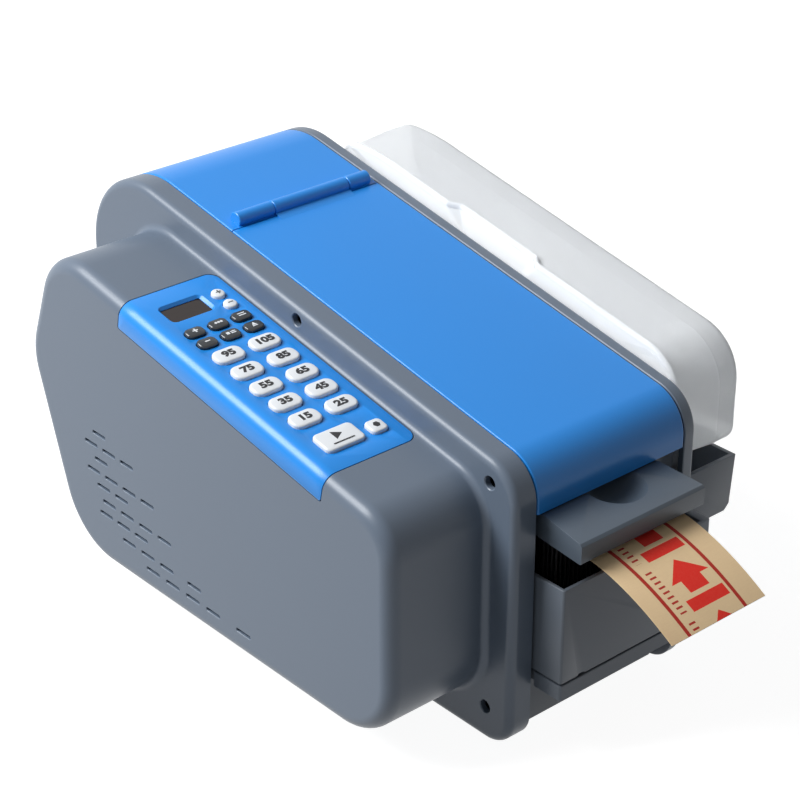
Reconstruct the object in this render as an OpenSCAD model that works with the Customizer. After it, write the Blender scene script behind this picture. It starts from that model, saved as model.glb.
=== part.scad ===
// Gummed tape dispenser for a shop or packing counter.
// Water-activated paper tape is drawn off a roll, cut to a keyed length, pressed by a warm
// plate against wet brushes and handed out at the front. Millimetres, +Z up, front at -Y.
// The stand-alone modules below draw in machine axes: X = 0 in the middle of the tape bay,
// Y = 0 at the front edge of the side covers, Z = 0 on the counter.

/* [Body] */
// Clear width of the tape bay between the two side covers
bay_w = 120; // [112:1:150]
// Length of the side covers, front to back
body_len = 402; // [350:1:440]
// Height above the counter where the roof line meets the front plane
roof_z = 186; // [182:1:200]
// Slope of the roof, rising to the back
roof_slope = 11; // [9:0.5:11.5]
// Radius of the rounded nose of the covers
nose_r = 27; // [18:1:34]
// Radius of the rounded back of the covers
back_r = 57; // [40:1:64]
// Radius of the lower corners of the side covers
corner_r = 20; // [12:1:26]
// Wall of the moulded lids and pans
wall = 3; // [2:0.1:3.5]
// Wall of the two moulded side covers
cover_wall = 4; // [3.5:0.1:5]
// Seam between neighbouring covers
seam = 0.4; // [0.3:0.05:0.8]
// Gap between the blue lids and the side covers
lid_gap = 0.8; // [0.4:0.05:1.2]
// Height of the rubber feet
foot_h = 3; // [2:0.5:6]
// Diameter of a rubber foot
foot_d = 22; // [14:1:26]
// Thickness of the two steel chassis plates
chassis_t = 2; // [1.5:0.1:2.4]

/* [Left cover and control housing] */
// Thickness of the flange part of the left cover
flange_t = 17; // [15:0.5:20]
// Rounding of the flange's outer edge
flange_edge_r = 5; // [3:0.5:6]
// Width of the control housing outside the flange
housing_w = 72; // [62:1:80]
// Rounding of the housing's outer edges
housing_edge_r = 9; // [6:0.5:12]
// Hollow blend where the housing grows out of the flange
housing_blend_r = 4.5; // [2:0.5:5]
// How far the housing's top lies under the roof line
housing_drop = 18.7; // [17:0.1:22]
// Height of the housing's underside above the counter
housing_z = 23; // [20:0.1:30]
// Distance of the housing's front wall behind the front plane
housing_y = 21.6; // [19:0.1:26]
// Distance of the housing's rearmost point in front of the covers' back
housing_back = 27; // [22:1:34]
// Width of a cooling slot
slot_h = 2.2; // [1:0.1:3]
// Length of a cooling slot
slot_len = 13.5; // [8:0.5:15]

/* [Right cover, bottle and tray] */
// Thickness of the right cover
right_t = 9; // [8.5:0.5:14]
// Rounding of the right cover's outer edge
right_edge_r = 2.5; // [1:0.5:3.5]
// Width of the water bottle
bottle_w = 57; // [50:1:70]
// Length of the water bottle
bottle_len = 308; // [300:1:315]
// Height of the bottle's top over the roof line
bottle_rise = 9.5; // [6:0.5:16]
// Height of the bottle's underside above the counter
bottle_z = 131; // [128:1:136]
// Rounding along the bottle's outer edges
bottle_edge_r = 8; // [5:0.5:10]
// Rounding along the bottle's edges beside the right cover
bottle_inner_r = 3; // [2:0.5:6]
// Depth of the finger recess in the bottle's inner side
grip_depth = 5; // [4.6:0.1:7]
// Length of the finger recess
grip_len = 79; // [60:1:90]
// Height of the tray's rim above the counter
tray_z = 121.6; // [118:0.1:124]
// Depth of the tray
tray_h = 37.8; // [34:0.1:42]

/* [Lid and hinge] */
// Distance of the hinge seam behind the front plane
seam_y = 272.2; // [262:0.2:276]
// Height of the lid's nose edge above the counter
nose_z = 157; // [156.6:0.1:160]
// Radius of the hinge barrel
barrel_r = 5; // [4:0.25:5.5]
// Radius of the hinge pin
pin_r = 1.5; // [1:0.1:2]
// Running clearance of pins and shafts in their bores
run_fit = 0.1; // [0.06:0.01:0.12]

/* [Tape and its path] */
// Width of the paper tape
tape_w = 76; // [60:1:78]
// Thickness of the tape as modelled
tape_t = 0.4; // [0.3:0.05:0.5]
// Middle of the tape, left of the middle of the bay
tape_off = 9.4; // [7.5:0.1:9.6]
// Height of the tape's underside where it is fed
tape_z = 138; // [137.8:0.1:138.4]
// Outer radius of the tape roll
roll_r = 88; // [70:1:90]
// Distance of the roll's axis in front of the covers' back
roll_back = 127; // [110:1:140]
// Room between a full roll and the roof over it
roll_room = 6.6; // [2:0.1:12]
// Outer radius of the cardboard core
core_r = 22; // [19:1:26]
// Wall of the cardboard core
core_wall = 3; // [2:0.5:5]
// Gap left between the tape and what carries it
tape_gap = 0.3; // [0.2:0.05:0.4]
// Reach of the curled tape end in front of the pressing plate
curl_reach = 58.6; // [40:0.5:64]
// Drop of the curled tape end
curl_drop = 26; // [14:0.5:27]

/* [Feed drive] */
// Radius of the rubber feed roller
feed_r = 15; // [13:0.5:15.5]
// Radius of the pinch roller above it
pinch_r = 9; // [7:0.5:9.5]
// Radius of the rollers that carry the tape roll
support_r = 9; // [7:0.5:10]
// Radius of every steel shaft
shaft_r = 4; // [3:0.25:4]
// Gear module
gear_module = 1; // [0.9:0.05:1]
// Teeth on the feed roller's gear
gear_teeth = 60; // [56:1:62]
// Teeth on the motor pinion
pinion_teeth = 16; // [15:1:18]
// Play between meshing teeth
gear_play = 0.24; // [0.15:0.01:0.3]

/* [Plate, brushes and water tank] */
// Width of the warm pressing plate
plate_w = 99.6; // [90:0.2:102]
// Reach of the plate in front of the front plane
plate_reach = 34.3; // [30:0.1:36]
// Width of the water tank's front
tank_w = 121; // [117:0.5:123]
// Reach of the tank in front of the front plane
tank_reach = 22; // [18:0.5:24]
// Height of the tank's rim above the counter
tank_z = 117.3; // [112:0.1:119]
// Height of the tank
tank_h = 62.7; // [58:0.1:64]
// Bristle tufts across one brush
tufts_across = 22; // [12:1:26]
// Rows of tufts in one brush
tuft_rows = 8; // [4:1:9]

/* [Keys] */
// How far a key travels
key_travel = 1.5; // [0.8:0.1:1.8]
// How far the keys stand out of the panel
key_proud = 2.6; // [1.5:0.1:3.2]
// Gap round a key in its hole
key_gap = 0.4; // [0.3:0.05:0.6]
// Thickness of the control panel
panel_t = 2; // [1.5:0.1:2.4]

/* [Hidden] */
$fn = 48;
KEY_ROW = 17.8;             // spacing of the rows of length keys, along the slope
KEY_COL = 26.5;             // spacing of the two columns of length keys
FIRST_ROW = 124;            // slope distance of the first row of length keys
RIGHT_COL = -98.5;          // X of the right column of length keys
SOFT_ROW = 12.2;            // spacing of the two rows of soft keys
SOFT_COL = 17.15;           // spacing of the three columns of soft keys
FIRST_SOFT = [-128.4, 211.3];
// name, X, slope distance, width, depth, corner radius
KEYS = concat(
    [for (i = [0:9]) [str("key_", 15 + 10 * i), RIGHT_COL - KEY_COL * (1 - i % 2),
                      FIRST_ROW + KEY_ROW * floor(i / 2), 20.4, 12.6, 5.2]],
    [for (i = [0:5]) [["soft_key_minus", "soft_key_off", "soft_key_home",
                       "soft_key_plus", "soft_key_set", "soft_key_menu"][i],
                      FIRST_SOFT[0] + SOFT_COL * (i % 3), FIRST_SOFT[1] + SOFT_ROW * floor(i / 3),
                      13, 8.6, 3.4]],
    [["round_key_up", -92, 249.4, 8.8, 8.8, 4.35],
     ["round_key_down", -92, 237.1, 8.8, 8.8, 4.35],
     ["start_key", -119.6, 100.2, 28, 17, 3.6],
     ["feed_key", -94.6, 97.4, 11.6, 11, 3.2]]);

slope_tan = tan(roof_slope);
half_bay = bay_w / 2;
inner_w = bay_w - 0.4;                          // what fits between the chassis plates
housing_back_y = body_len - housing_back;
chassis_x = half_bay + chassis_t;               // outer face of the chassis plates
flange_x = half_bay + flange_t;                 // outer face of the left flange
housing_x = flange_x + housing_w;               // outer face of the control housing
right_x = half_bay + right_t;                   // outer face of the right cover
tray_side_gap = 0.4;                            // between the right cover and the tray
bottle_side_gap = 2.4;                          // between the right cover and the bottle
bottle_x = right_x + bottle_side_gap;           // inner face of the bottle
bottle_out_x = bottle_x + bottle_w;
bottle_y = 16.6;
tray_x = right_x + tray_side_gap;
tray_out_x = bottle_out_x - bottle_side_gap;
tape_x = -tape_off;
strip_rear_y = 52.6;                            // where the cut strip ends, at the blade
strip_front_y = -plate_reach - curl_reach;
// The row's own origin: under the middle of the whole object
mid_x = (bottle_out_x - housing_x) / 2;
mid_y = (body_len + strip_front_y) / 2;

function roof(y) = roof_z + y * slope_tan;

// ---- outlines -------------------------------------------------------------------------
// Unit vector from p to q, and its left normal
function unit(p, q) = (q - p) / norm(q - p);
function left(v) = [-v[1], v[0]];
// Outline of a convex polygon drawn counter-clockwise, its corners rounded to radii r and
// the whole outline drawn in by inset. Every corner is an arc of steps + 1 points.
function rounded(p, r, inset = 0, steps = 7) = [
    for (i = [0:len(p) - 1])
        let (a = left(unit(p[(i + len(p) - 1) % len(p)], p[i])),
             b = left(unit(p[i], p[(i + 1) % len(p)])),
             c = p[i] + r[i] * (a + b) / (1 + a * b),
             from = atan2(-a[1], -a[0]),
             turn = (atan2(-b[1], -b[0]) - from + 720) % 360)
        for (s = [0:steps])
            c + (r[i] - inset) * [cos(from + turn * s / steps), sin(from + turn * s / steps)]];

// Closed skin through one outline at several X: levels are [x, inset], x rising
module skin(p, r, levels, steps = 7) {
    rings = [for (l = levels) [for (q = rounded(p, r, l[1], steps)) [l[0], q[0], q[1]]]];
    n = len(rings[0]);
    m = len(rings);
    polyhedron(
        points = [for (ring = rings) for (q = ring) q],
        faces = concat(
            [[for (i = [0:n - 1]) i]],
            [[for (i = [n - 1:-1:0]) (m - 1) * n + i]],
            [for (k = [0:m - 2]) for (i = [0:n - 1])
                [k * n + i, (k + 1) * n + i, (k + 1) * n + (i + 1) % n, k * n + (i + 1) % n]]),
        convexity = 4);
}
// Levels of a rounded outer edge at x that curls in to the left (side -1) or right (side 1)
function edge_levels(x, r, side, steps = 4) = side < 0
    ? [for (s = [0:steps]) [x + r - r * cos(90 * s / steps), r - r * sin(90 * s / steps)]]
    : [for (s = [steps:-1:0]) [x - r + r * cos(90 * s / steps), r - r * sin(90 * s / steps)]];

// Solid of a YZ outline between two X planes
module side_plate(x0, x1) { translate([x0, 0, 0]) rotate([90, 0, 90]) linear_extrude(x1 - x0) children(); }
// Cylinder along X between two planes
module rod(r, x0, x1, y, z) { translate([x0, y, z]) rotate([0, 90, 0]) cylinder(r = r, h = x1 - x0); }
// Box between two corners
module block(a, b) { translate(a) cube(b - a); }
// Flat plate with rounded corners, exact arcs
module round_rect(w, d, r) {
    square([w - 2 * r, d], center = true);
    square([w, d - 2 * r], center = true);
    for (sx = [-1, 1], sy = [-1, 1]) translate([sx * (w / 2 - r), sy * (d / 2 - r)]) circle(r = r);
}

// Side outline of the machine, front-bottom, rear-bottom, rear-top, front-top
body_pts = [[0, foot_h], [body_len, foot_h], [body_len, roof(body_len)], [0, roof_z]];
body_radii = [corner_r, corner_r, back_r, nose_r];
// Side outline of the control housing
function housing_roof(y) = roof(y) - housing_drop;
housing_toe = 41;           // how far the housing's back leans in below its rearmost point
housing_shoulder = 32;      // and above it
housing_bend_h = 127.7;     // height of the rearmost point over the underside
housing_pts = [[housing_y, housing_z], [housing_back_y - housing_toe, housing_z],
    [housing_back_y, housing_z + housing_bend_h],
    [housing_back_y - housing_shoulder, housing_roof(housing_back_y - housing_shoulder)],
    [housing_y, housing_roof(housing_y)]];
housing_radii = [44, 52, 45, 42, 30];

// ---- screws ---------------------------------------------------------------------------
// Places of the cover screws in the side outline, [y, z]
screw_spots = [[20.5, 26], [20.4, 175.4], [188, roof(188) - 8.6], [body_len - 21, 28]];
screw_well_r = 4;
screw_head_r = 3.4;
screw_head_h = 3;
screw_shank_r = 1.5;
screw_boss_r = 6.5;
screw_floor = 3;            // material under a screw head
screw_fit = 0.1;

module screw_wells(side, outer) {
    for (s = screw_spots) {
        rod(screw_well_r, side < 0 ? -outer - 1 : chassis_x + screw_floor,
            side < 0 ? -chassis_x - screw_floor : outer + 1, s[0], s[1]);
        rod(screw_shank_r + screw_fit, side < 0 ? -outer : chassis_x - 1,
            side < 0 ? -chassis_x + 1 : outer, s[0], s[1]);
    }
}
module screw_bosses(side, outer) {
    for (s = screw_spots)
        rod(screw_boss_r, side < 0 ? -outer : chassis_x, side < 0 ? -chassis_x : outer, s[0], s[1]);
}

// ---- control panel frame --------------------------------------------------------------
// Children are drawn with X across, Y up the slope and Z square out of the housing's top
module on_slope() { translate([0, 0, housing_roof(0)]) rotate([roof_slope, 0, 0]) children(); }
panel_right_x = -flange_x - 3;      // the panel stops at the foot of the blend
panel_from = 78;                    // slope distance of the panel's front edge
panel_to = 271;                     // slope distance of its rear edge
panel_skirt = 17;                   // how far the panel reaches down the side
panel_corner_r = 7;
window = [-116.8, 247.5, 29, 14.6]; // display window: X, slope distance, width, depth
// Cross-section of the housing's top and side, as a band of thickness t
module panel_band(t, right, skirt) {
    far = 2 * housing_edge_r;
    translate([-housing_x + housing_edge_r, -housing_edge_r]) difference() {
        circle(r = housing_edge_r);
        circle(r = housing_edge_r - t);
        translate([0, -far]) square([far, 2 * far]);
        translate([-far, -far]) square([2 * far, far]);
    }
    translate([-housing_x + housing_edge_r, -t]) square([right + housing_x - housing_edge_r, t]);
    translate([-housing_x, -skirt]) square([t, skirt - housing_edge_r]);
}
module panel_prism(t, grow) {
    difference() {
        translate([0, panel_to + grow, 0]) rotate([90, 0, 0])
            linear_extrude(panel_to - panel_from + 2 * grow)
                panel_band(t, panel_right_x + grow, panel_skirt + grow);
        // rounded right-hand corners in plan
        for (end = [0, 1]) {
            y = end == 0 ? panel_from - grow : panel_to + grow;
            s = end == 0 ? 1 : -1;
            r = panel_corner_r;
            translate([panel_right_x + grow - r, y + s * r, -t - 1]) difference() {
                translate([0, s > 0 ? -r - 1 : 0, 0]) cube([r + 1, r + 1, t + 2]);
                translate([0, 0, -1]) cylinder(r = r, h = t + 4);
            }
        }
    }
}

// ---- covers ---------------------------------------------------------------------------
// Rows of cooling slots low on the housing's side: height over the housing's underside, middle of
// the rearmost slot in front of the housing's back, slots, pitch
vent_rows = [[93.7, 76.1, 1, 19.5], [84.2, 66.6, 3, 19.2], [74.9, 76.6, 1, 19.5],
    [65.2, 67.6, 4, 19.2], [56.2, 77.6, 2, 19.3], [46.2, 82.6, 4, 19.7], [36.8, 78.6, 3, 18.9],
    [26.7, 102.6, 3, 20], [26.7, 171, 1, 20], [17.2, 127.6, 4, 20.7], [17.2, 219.6, 1, 20]];
aperture_x = [7.5, 7.5];            // the opening under the panel starts this far inside its edges
aperture_end = 6;
module left_side_cover() {
    color("slategray") difference() {
        union() {
            skin(body_pts, body_radii,
                concat(edge_levels(-flange_x, flange_edge_r, -1), [[-half_bay, 0]]));
            skin(housing_pts, housing_radii, concat(
                edge_levels(-housing_x, housing_edge_r, -1, 5),
                [for (s = [0:3]) [-flange_x - housing_blend_r + housing_blend_r * sin(30 * s),
                                  -housing_blend_r * (1 - cos(30 * s))]],
                [[-flange_x + cover_wall / 2, -housing_blend_r]]), 6);
        }
        difference() {
            skin(body_pts, body_radii,
                [[-flange_x + cover_wall, cover_wall], [-half_bay + 1, cover_wall]]);
            screw_bosses(-1, flange_x);
        }
        skin(housing_pts, housing_radii, [[-housing_x + cover_wall, housing_edge_r],
            [-housing_x + housing_edge_r, cover_wall], [-flange_x + 2 * cover_wall, cover_wall]], 6);
        screw_wells(-1, flange_x);
        on_slope() {
            panel_prism(panel_t + 0.05, seam);
            translate([-housing_x + aperture_x[0], panel_from + aperture_end, -2 * cover_wall])
                cube([housing_w - aperture_x[0] - aperture_x[1],
                    panel_to - panel_from - 2 * aperture_end, 3 * cover_wall]);
        }
        for (row = vent_rows) for (i = [0:row[2] - 1])
            translate([-housing_x - 1, housing_back_y - row[1] - slot_len / 2 - i * row[3],
                housing_z + row[0] - slot_h / 2])
                cube([cover_wall + 2, slot_len, slot_h]);
    }
}
module right_side_cover() {
    color("slategray") difference() {
        skin(body_pts, body_radii,
            concat([[half_bay, 0]], edge_levels(right_x, right_edge_r, 1, 3)));
        difference() {
            skin(body_pts, body_radii, [[half_bay - 1, cover_wall], [right_x - cover_wall, cover_wall]]);
            screw_bosses(1, right_x);
        }
        screw_wells(1, right_x);
    }
}

// ---- chassis --------------------------------------------------------------------------
// Axes that run through the chassis, [y, z]
feed_y = 82;
feed_axis = [feed_y, tape_z - tape_gap - feed_r];
pinch_axis = [feed_y, tape_z + tape_t + tape_gap + pinch_r];
roll_y = body_len - roll_back;
roll_axis = [roll_y, roof(roll_y) - (roll_r + wall + roll_room) / cos(roof_slope)];
support_angle = 35;
support_reach = roll_r + support_r + tape_gap;
function support_axis(side) = roll_axis + support_reach * [side * sin(support_angle), -cos(support_angle)];
gear_distance = gear_module * (gear_teeth + pinion_teeth) / 2;
motor_angle = 50;
motor_axis = feed_axis + gear_distance * [cos(motor_angle), -sin(motor_angle)];
motor_r = 18;
motor_boss_r = 8;                   // hole in the chassis round the motor's shaft
cable_hole_r = 9;
cable_holes = [[150, 110], [230, 110]];
shaft_axes = [feed_axis, pinch_axis, support_axis(-1), support_axis(1)];

module chassis_plate(x0, left) {
    color("lightsteelblue") difference() {
        side_plate(x0, x0 + chassis_t) polygon(rounded(body_pts, body_radii, cover_wall + 0.3));
        for (a = shaft_axes) rod(shaft_r + run_fit, x0 - 1, x0 + chassis_t + 1, a[0], a[1]);
        for (s = screw_spots) rod(screw_shank_r + screw_fit, x0 - 1, x0 + chassis_t + 1, s[0], s[1]);
        if (left) {
            rod(motor_boss_r, x0 - 1, x0 + chassis_t + 1, motor_axis[0], motor_axis[1]);
            // cable openings into the control housing
            for (c = cable_holes) rod(cable_hole_r, x0 - 1, x0 + chassis_t + 1, c[0], c[1]);
        }
    }
}
module chassis_left() { chassis_plate(-chassis_x, true); }
module chassis_right() { chassis_plate(half_bay, false); }

// ---- base and back --------------------------------------------------------------------
base_y = 16.6;                      // front wall of the base, set back under the ledge
base_top = 43;
base_floor = foot_h + wall;
rear_panel_top = 148;
inlet_at = [0, 64];                 // middle of the power inlet on the rear panel, [x, z]
inlet_size = [54, 22];              // its cut-out
inlet_fit = 0.3;
rear_y = body_len - 1;              // outside of the rear panel
rib_t = 2.5;                        // stiffening ribs across the floor
rib_h = 10;
rib_count = 4;
grille_z = [96, 132];               // cooling grille in the rear panel
grille_bar = 9;
base_bend = [for (a = [-75:15:0]) [cos(a), sin(a)]];
module base() {
    bend_at = [rear_y - corner_r, foot_h + corner_r];
    color("dimgray") difference() {
        intersection() {
            union() {
                block([-inner_w / 2, base_y, foot_h], [inner_w / 2, rear_y, base_top]);
                block([-inner_w / 2, rear_y - wall, foot_h], [inner_w / 2, rear_y, rear_panel_top]);
            }
            side_plate(-half_bay, half_bay) polygon(concat([[0, 0], [rear_y - corner_r, foot_h]],
                [for (b = base_bend) bend_at + corner_r * b],
                [[rear_y, rear_panel_top + 1], [0, rear_panel_top + 1]]));
        }
        difference() {
            side_plate(-inner_w / 2 + wall, inner_w / 2 - wall) polygon(concat(
                [[base_y + wall, base_floor], [rear_y - corner_r, base_floor]],
                [for (b = base_bend) bend_at + (corner_r - wall) * b],
                [[rear_y - wall, base_top + 1], [base_y + wall, base_top + 1]]));
            for (i = [1:rib_count]) {
                y = base_y + i * (rear_y - base_y) / (rib_count + 1);
                block([-inner_w / 2, y - rib_t / 2, 0], [inner_w / 2, y + rib_t / 2, base_floor + rib_h]);
            }
        }
        // cut-out for the power inlet
        translate([inlet_at[0], rear_y + 1, inlet_at[1]]) rotate([90, 0, 0])
            linear_extrude(wall + 2) square(inlet_size + 2 * [inlet_fit, inlet_fit], center = true);
        for (i = [-4:4]) block([i * grille_bar - wall / 2, rear_y - wall - 1, grille_z[0]],
            [i * grille_bar + wall / 2, rear_y + 1, grille_z[1]]);
    }
}
foot_side = 18;                     // middle of a foot inside the bay's wall
foot_y = [50, body_len - 40];
foot_spots = [for (x = [-1, 1], y = foot_y) [x * (half_bay - foot_side), y]];
module rubber_feet() {
    color("black") for (f = foot_spots) translate([f[0], f[1], 0]) cylinder(d = foot_d, h = foot_h);
}

// ---- lids -----------------------------------------------------------------------------
hinge_axis = [seam_y + 5.8, roof(seam_y + 5.8) + 2];
knuckle_from = -24;                 // the lid's own knuckle, X range
knuckle_to = 36;
left_knuckle_from = -52.3;
right_knuckle_to = 54;
lid_w = bay_w - 2 * lid_gap;
knuckle_gap = 0.4;
module cover_ring(inset) {
    difference() {
        polygon(rounded(body_pts, body_radii, 0, 16));
        polygon(rounded(body_pts, body_radii, inset, 16));
    }
}
module front_lid() {
    rear = seam_y - seam / 2;
    color("royalblue") difference() {
        union() {
            side_plate(-lid_w / 2, lid_w / 2) intersection() {
                cover_ring(wall);
                translate([-10, nose_z]) square([rear + 10, 200]);
            }
            // side skirts that stiffen the lid
            for (x = [-lid_w / 2, lid_w / 2 - 2]) side_plate(x, x + 2) intersection() {
                difference() {
                    polygon(rounded(body_pts, body_radii, 0.5, 16));
                    polygon(rounded(body_pts, body_radii, 10, 16));
                }
                translate([0.5, nose_z]) square([rear - 12, 200]);
            }
            // the lid's knuckle and its tongue
            rod(barrel_r, knuckle_from, knuckle_to, hinge_axis[0], hinge_axis[1]);
            side_plate(knuckle_from, knuckle_to) polygon([[rear - 14, roof(rear - 14) - 0.5],
                [rear - wall, roof(rear) - wall + 0.2], [rear, roof(rear) - wall],
                [hinge_axis[0] - 1, hinge_axis[1] - 4.2], hinge_axis,
                [hinge_axis[0] - 3.5, hinge_axis[1] + 3.2]]);
        }
        rod(pin_r + run_fit, knuckle_from - 1, knuckle_to + 1, hinge_axis[0], hinge_axis[1]);
    }
}
module rear_cover() {
    front = seam_y + seam / 2;
    color("royalblue") difference() {
        union() {
            side_plate(-lid_w / 2, lid_w / 2) intersection() {
                cover_ring(wall);
                translate([front, rear_panel_top + 0.4]) square([200, 200]);
            }
            // fixing lugs that seat on the chassis
            for (x = [-lid_w / 2, lid_w / 2 - 2]) side_plate(x, x + 2) intersection() {
                difference() {
                    polygon(rounded(body_pts, body_radii, 0.5, 16));
                    polygon(rounded(body_pts, body_radii, 9, 16));
                }
                translate([front + 14, rear_panel_top + 0.4]) square([200, 200]);
            }
            rod(barrel_r, left_knuckle_from, knuckle_from - knuckle_gap, hinge_axis[0], hinge_axis[1]);
            rod(barrel_r, knuckle_to + knuckle_gap, right_knuckle_to, hinge_axis[0], hinge_axis[1]);
        }
        // room for the lid's knuckle and tongue to turn in
        block([knuckle_from - knuckle_gap, front - 1, roof(front) - wall - 2],
            [knuckle_to + knuckle_gap, hinge_axis[0], hinge_axis[1] + barrel_r]);
        rod(barrel_r + knuckle_gap, knuckle_from - knuckle_gap, knuckle_to + knuckle_gap,
            hinge_axis[0], hinge_axis[1]);
        rod(pin_r, left_knuckle_from + 3, right_knuckle_to - 3, hinge_axis[0], hinge_axis[1]);
        // tapered left end of the barrel
        translate([left_knuckle_from - 4, hinge_axis[0] - 8, hinge_axis[1] + 2.2])
            rotate([0, -32, 0]) cube([12, 16, 12]);
    }
}
module hinge_pin() {
    color("silver") rod(pin_r, left_knuckle_from + 3, right_knuckle_to - 3, hinge_axis[0], hinge_axis[1]);
}

// ---- keypad ---------------------------------------------------------------------------
key_flange = 0.9;                   // rim that keeps a key in its hole
key_rim_t = 1.4;
key_rim_gap = 0.15;                 // play under the panel at rest
board_z = -11;                      // upper face of the control board, below the panel's top
board_t = 1.6;
dome_h = 0.8;
dome_r = 3;
module key_hole(k, grow) {
    translate([k[1], k[2]]) round_rect(k[3] + 2 * grow, k[4] + 2 * grow, k[5] + grow);
}
module control_panel() {
    color("cornflowerblue") on_slope() difference() {
        panel_prism(panel_t, 0);
        translate([0, 0, -panel_t - 1]) linear_extrude(panel_t + 2) {
            for (k = KEYS) key_hole(k, key_gap);
            translate([window[0], window[1]]) round_rect(window[2], window[3], 1.2);
        }
    }
}
module display_lens() {
    color("#2a1c18") on_slope() translate([window[0], window[1], -panel_t - 1.5])
        linear_extrude(1.5) round_rect(window[2] + 5, window[3] + 4, 1.5);
}
module key(k) {
    color(k[0][0] == "s" && k[0][1] == "o" ? "#333a40" : "white") on_slope() {
        translate([0, 0, -panel_t - 0.5]) linear_extrude(panel_t + key_proud - 0.5) key_hole(k, 0);
        translate([0, 0, -panel_t - key_rim_gap - key_rim_t])
            linear_extrude(key_rim_t) key_hole(k, key_flange);
        translate([k[1], k[2], board_z + dome_h + key_travel + 0.1])
            cylinder(r = 2.2, h = -board_z - dome_h - key_travel - panel_t - 1);
        translate([k[1], k[2], key_proud - 1.02]) hull() {
            linear_extrude(0.3) round_rect(k[3], k[4], k[5], $fn = 16);
            translate([0, 0, 0.98]) linear_extrude(0.04)
                round_rect(k[3] - 1.8, k[4] - 1.8, k[5] - 0.9, $fn = 16);
        }
    }
}
module control_board() {
    board_x = [-housing_x + 7, panel_right_x - 2];
    board_y = [panel_from + 8, panel_to - 8];
    post_x = [board_x[0] + 3.5, board_x[1] - 5];
    color("darkgreen") on_slope() {
        block([board_x[0], board_y[0], board_z - board_t], [board_x[1], board_y[1], board_z]);
        // dome switches under the keys and posts up to the panel
        for (k = KEYS) translate([k[1], k[2], board_z - 0.1]) cylinder(r = dome_r, h = dome_h + 0.1);
        for (y = [board_y[0] + 2, board_y[1] - 3], x = post_x)
            translate([x, y, board_z - 0.1]) cylinder(r = 2, h = -board_z - panel_t + 0.1);
        // processor, relay and a pair of capacitors underneath
        translate([-130, 150, board_z - 4.5]) cube([16, 16, 3]);
        translate([-104, 180, board_z - 16]) cube([15, 19, 14.5]);
        for (y = [215, 232]) translate([-118, y, board_z - 17]) cylinder(r = 6, h = 15.5);
    }
}

// ---- water side -----------------------------------------------------------------------
function bottle_roof(y) = roof(y) + bottle_rise;
bottle_pts = [[bottle_y, bottle_z], [bottle_y + bottle_len, bottle_z],
    [bottle_y + bottle_len, bottle_roof(bottle_y + bottle_len)], [bottle_y, bottle_roof(bottle_y)]];
bottle_radii = [9, 14, 44, 34];
valve_at = [bottle_x + bottle_w / 2, 210];
valve_r = 16;
neck_r = 14;
foot_inset = 9;                     // the bottle's foot is this much inside its outline
foot_top_y = [60, 296];             // front and back of the foot
tray_y = 15;
tray_floor = tray_z - tray_h + wall;
ledge_h = 17.7;                     // height of the tray's ledges over its floor
foot_z = tray_floor + ledge_h + 0.3;
neck_z = tray_floor + 17;           // lower end of the bottle's neck
grip_middle = 183;                  // slope distance of the middle of the finger recess
grip_corner_r = 3.5;
module water_bottle() {
    color("whitesmoke") difference() {
        union() {
            skin(bottle_pts, bottle_radii, concat(
                edge_levels(bottle_x, bottle_inner_r, -1), edge_levels(bottle_out_x, bottle_edge_r, 1)));
            // foot that stands on the tray's ledges
            block([bottle_x + foot_inset, foot_top_y[0], foot_z],
                [bottle_out_x - foot_inset, foot_top_y[1], bottle_z + 1]);
        }
        // finger recess along the top of the inner side
        translate([bottle_x, 0, roof_z + 0.5]) rotate([roof_slope, 0, 0]) translate([0, grip_middle, 0])
            linear_extrude(4 * bottle_rise) round_rect(2 * grip_depth, grip_len, grip_corner_r);
        // neck socket for the valve
        translate([valve_at[0], valve_at[1], neck_z]) cylinder(r = neck_r + run_fit, h = 12);
    }
}
module bottle_valve() {
    color("gainsboro") translate([valve_at[0], valve_at[1], 0]) {
        translate([0, 0, tray_floor + 6]) cylinder(r = valve_r, h = neck_z - tray_floor - 5.5);
        translate([0, 0, neck_z]) cylinder(r = neck_r, h = 11);
        translate([0, 0, tray_floor + 0.3]) cylinder(r = 3, h = 6);
        for (i = [0:23]) rotate(i * 15) translate([valve_r - 0.3, 0, tray_floor + 7])
            cylinder(r = 0.8, h = 9, $fn = 16);
    }
}
module bottle_tray() {
    back = bottle_y + bottle_len + 4;
    low = tray_z - tray_h;
    draft = 2.9;
    color("slategray") difference() {
        translate([0, back, 0]) rotate([90, 0, 0]) linear_extrude(back - tray_y)
            polygon([[tray_x, low], [tray_out_x - draft - 4, low], [tray_out_x - draft, low + 4],
                [tray_out_x, tray_z], [tray_x, tray_z]]);
        difference() {
            translate([0, back - wall, 0]) rotate([90, 0, 0]) linear_extrude(back - tray_y - 2 * wall)
                polygon([[tray_x + wall, tray_floor], [tray_out_x - draft - 6, tray_floor],
                    [tray_out_x - draft - wall, tray_floor + 3], [tray_out_x - wall, tray_z + 1],
                    [tray_x + wall, tray_z + 1]]);
            // ledges that carry the bottle's foot
            for (y = [foot_top_y[0] + 4, foot_top_y[1] - 12])
                block([tray_x, y, tray_floor - 1], [tray_out_x, y + 8, tray_floor + ledge_h]);
        }
    }
}

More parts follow.
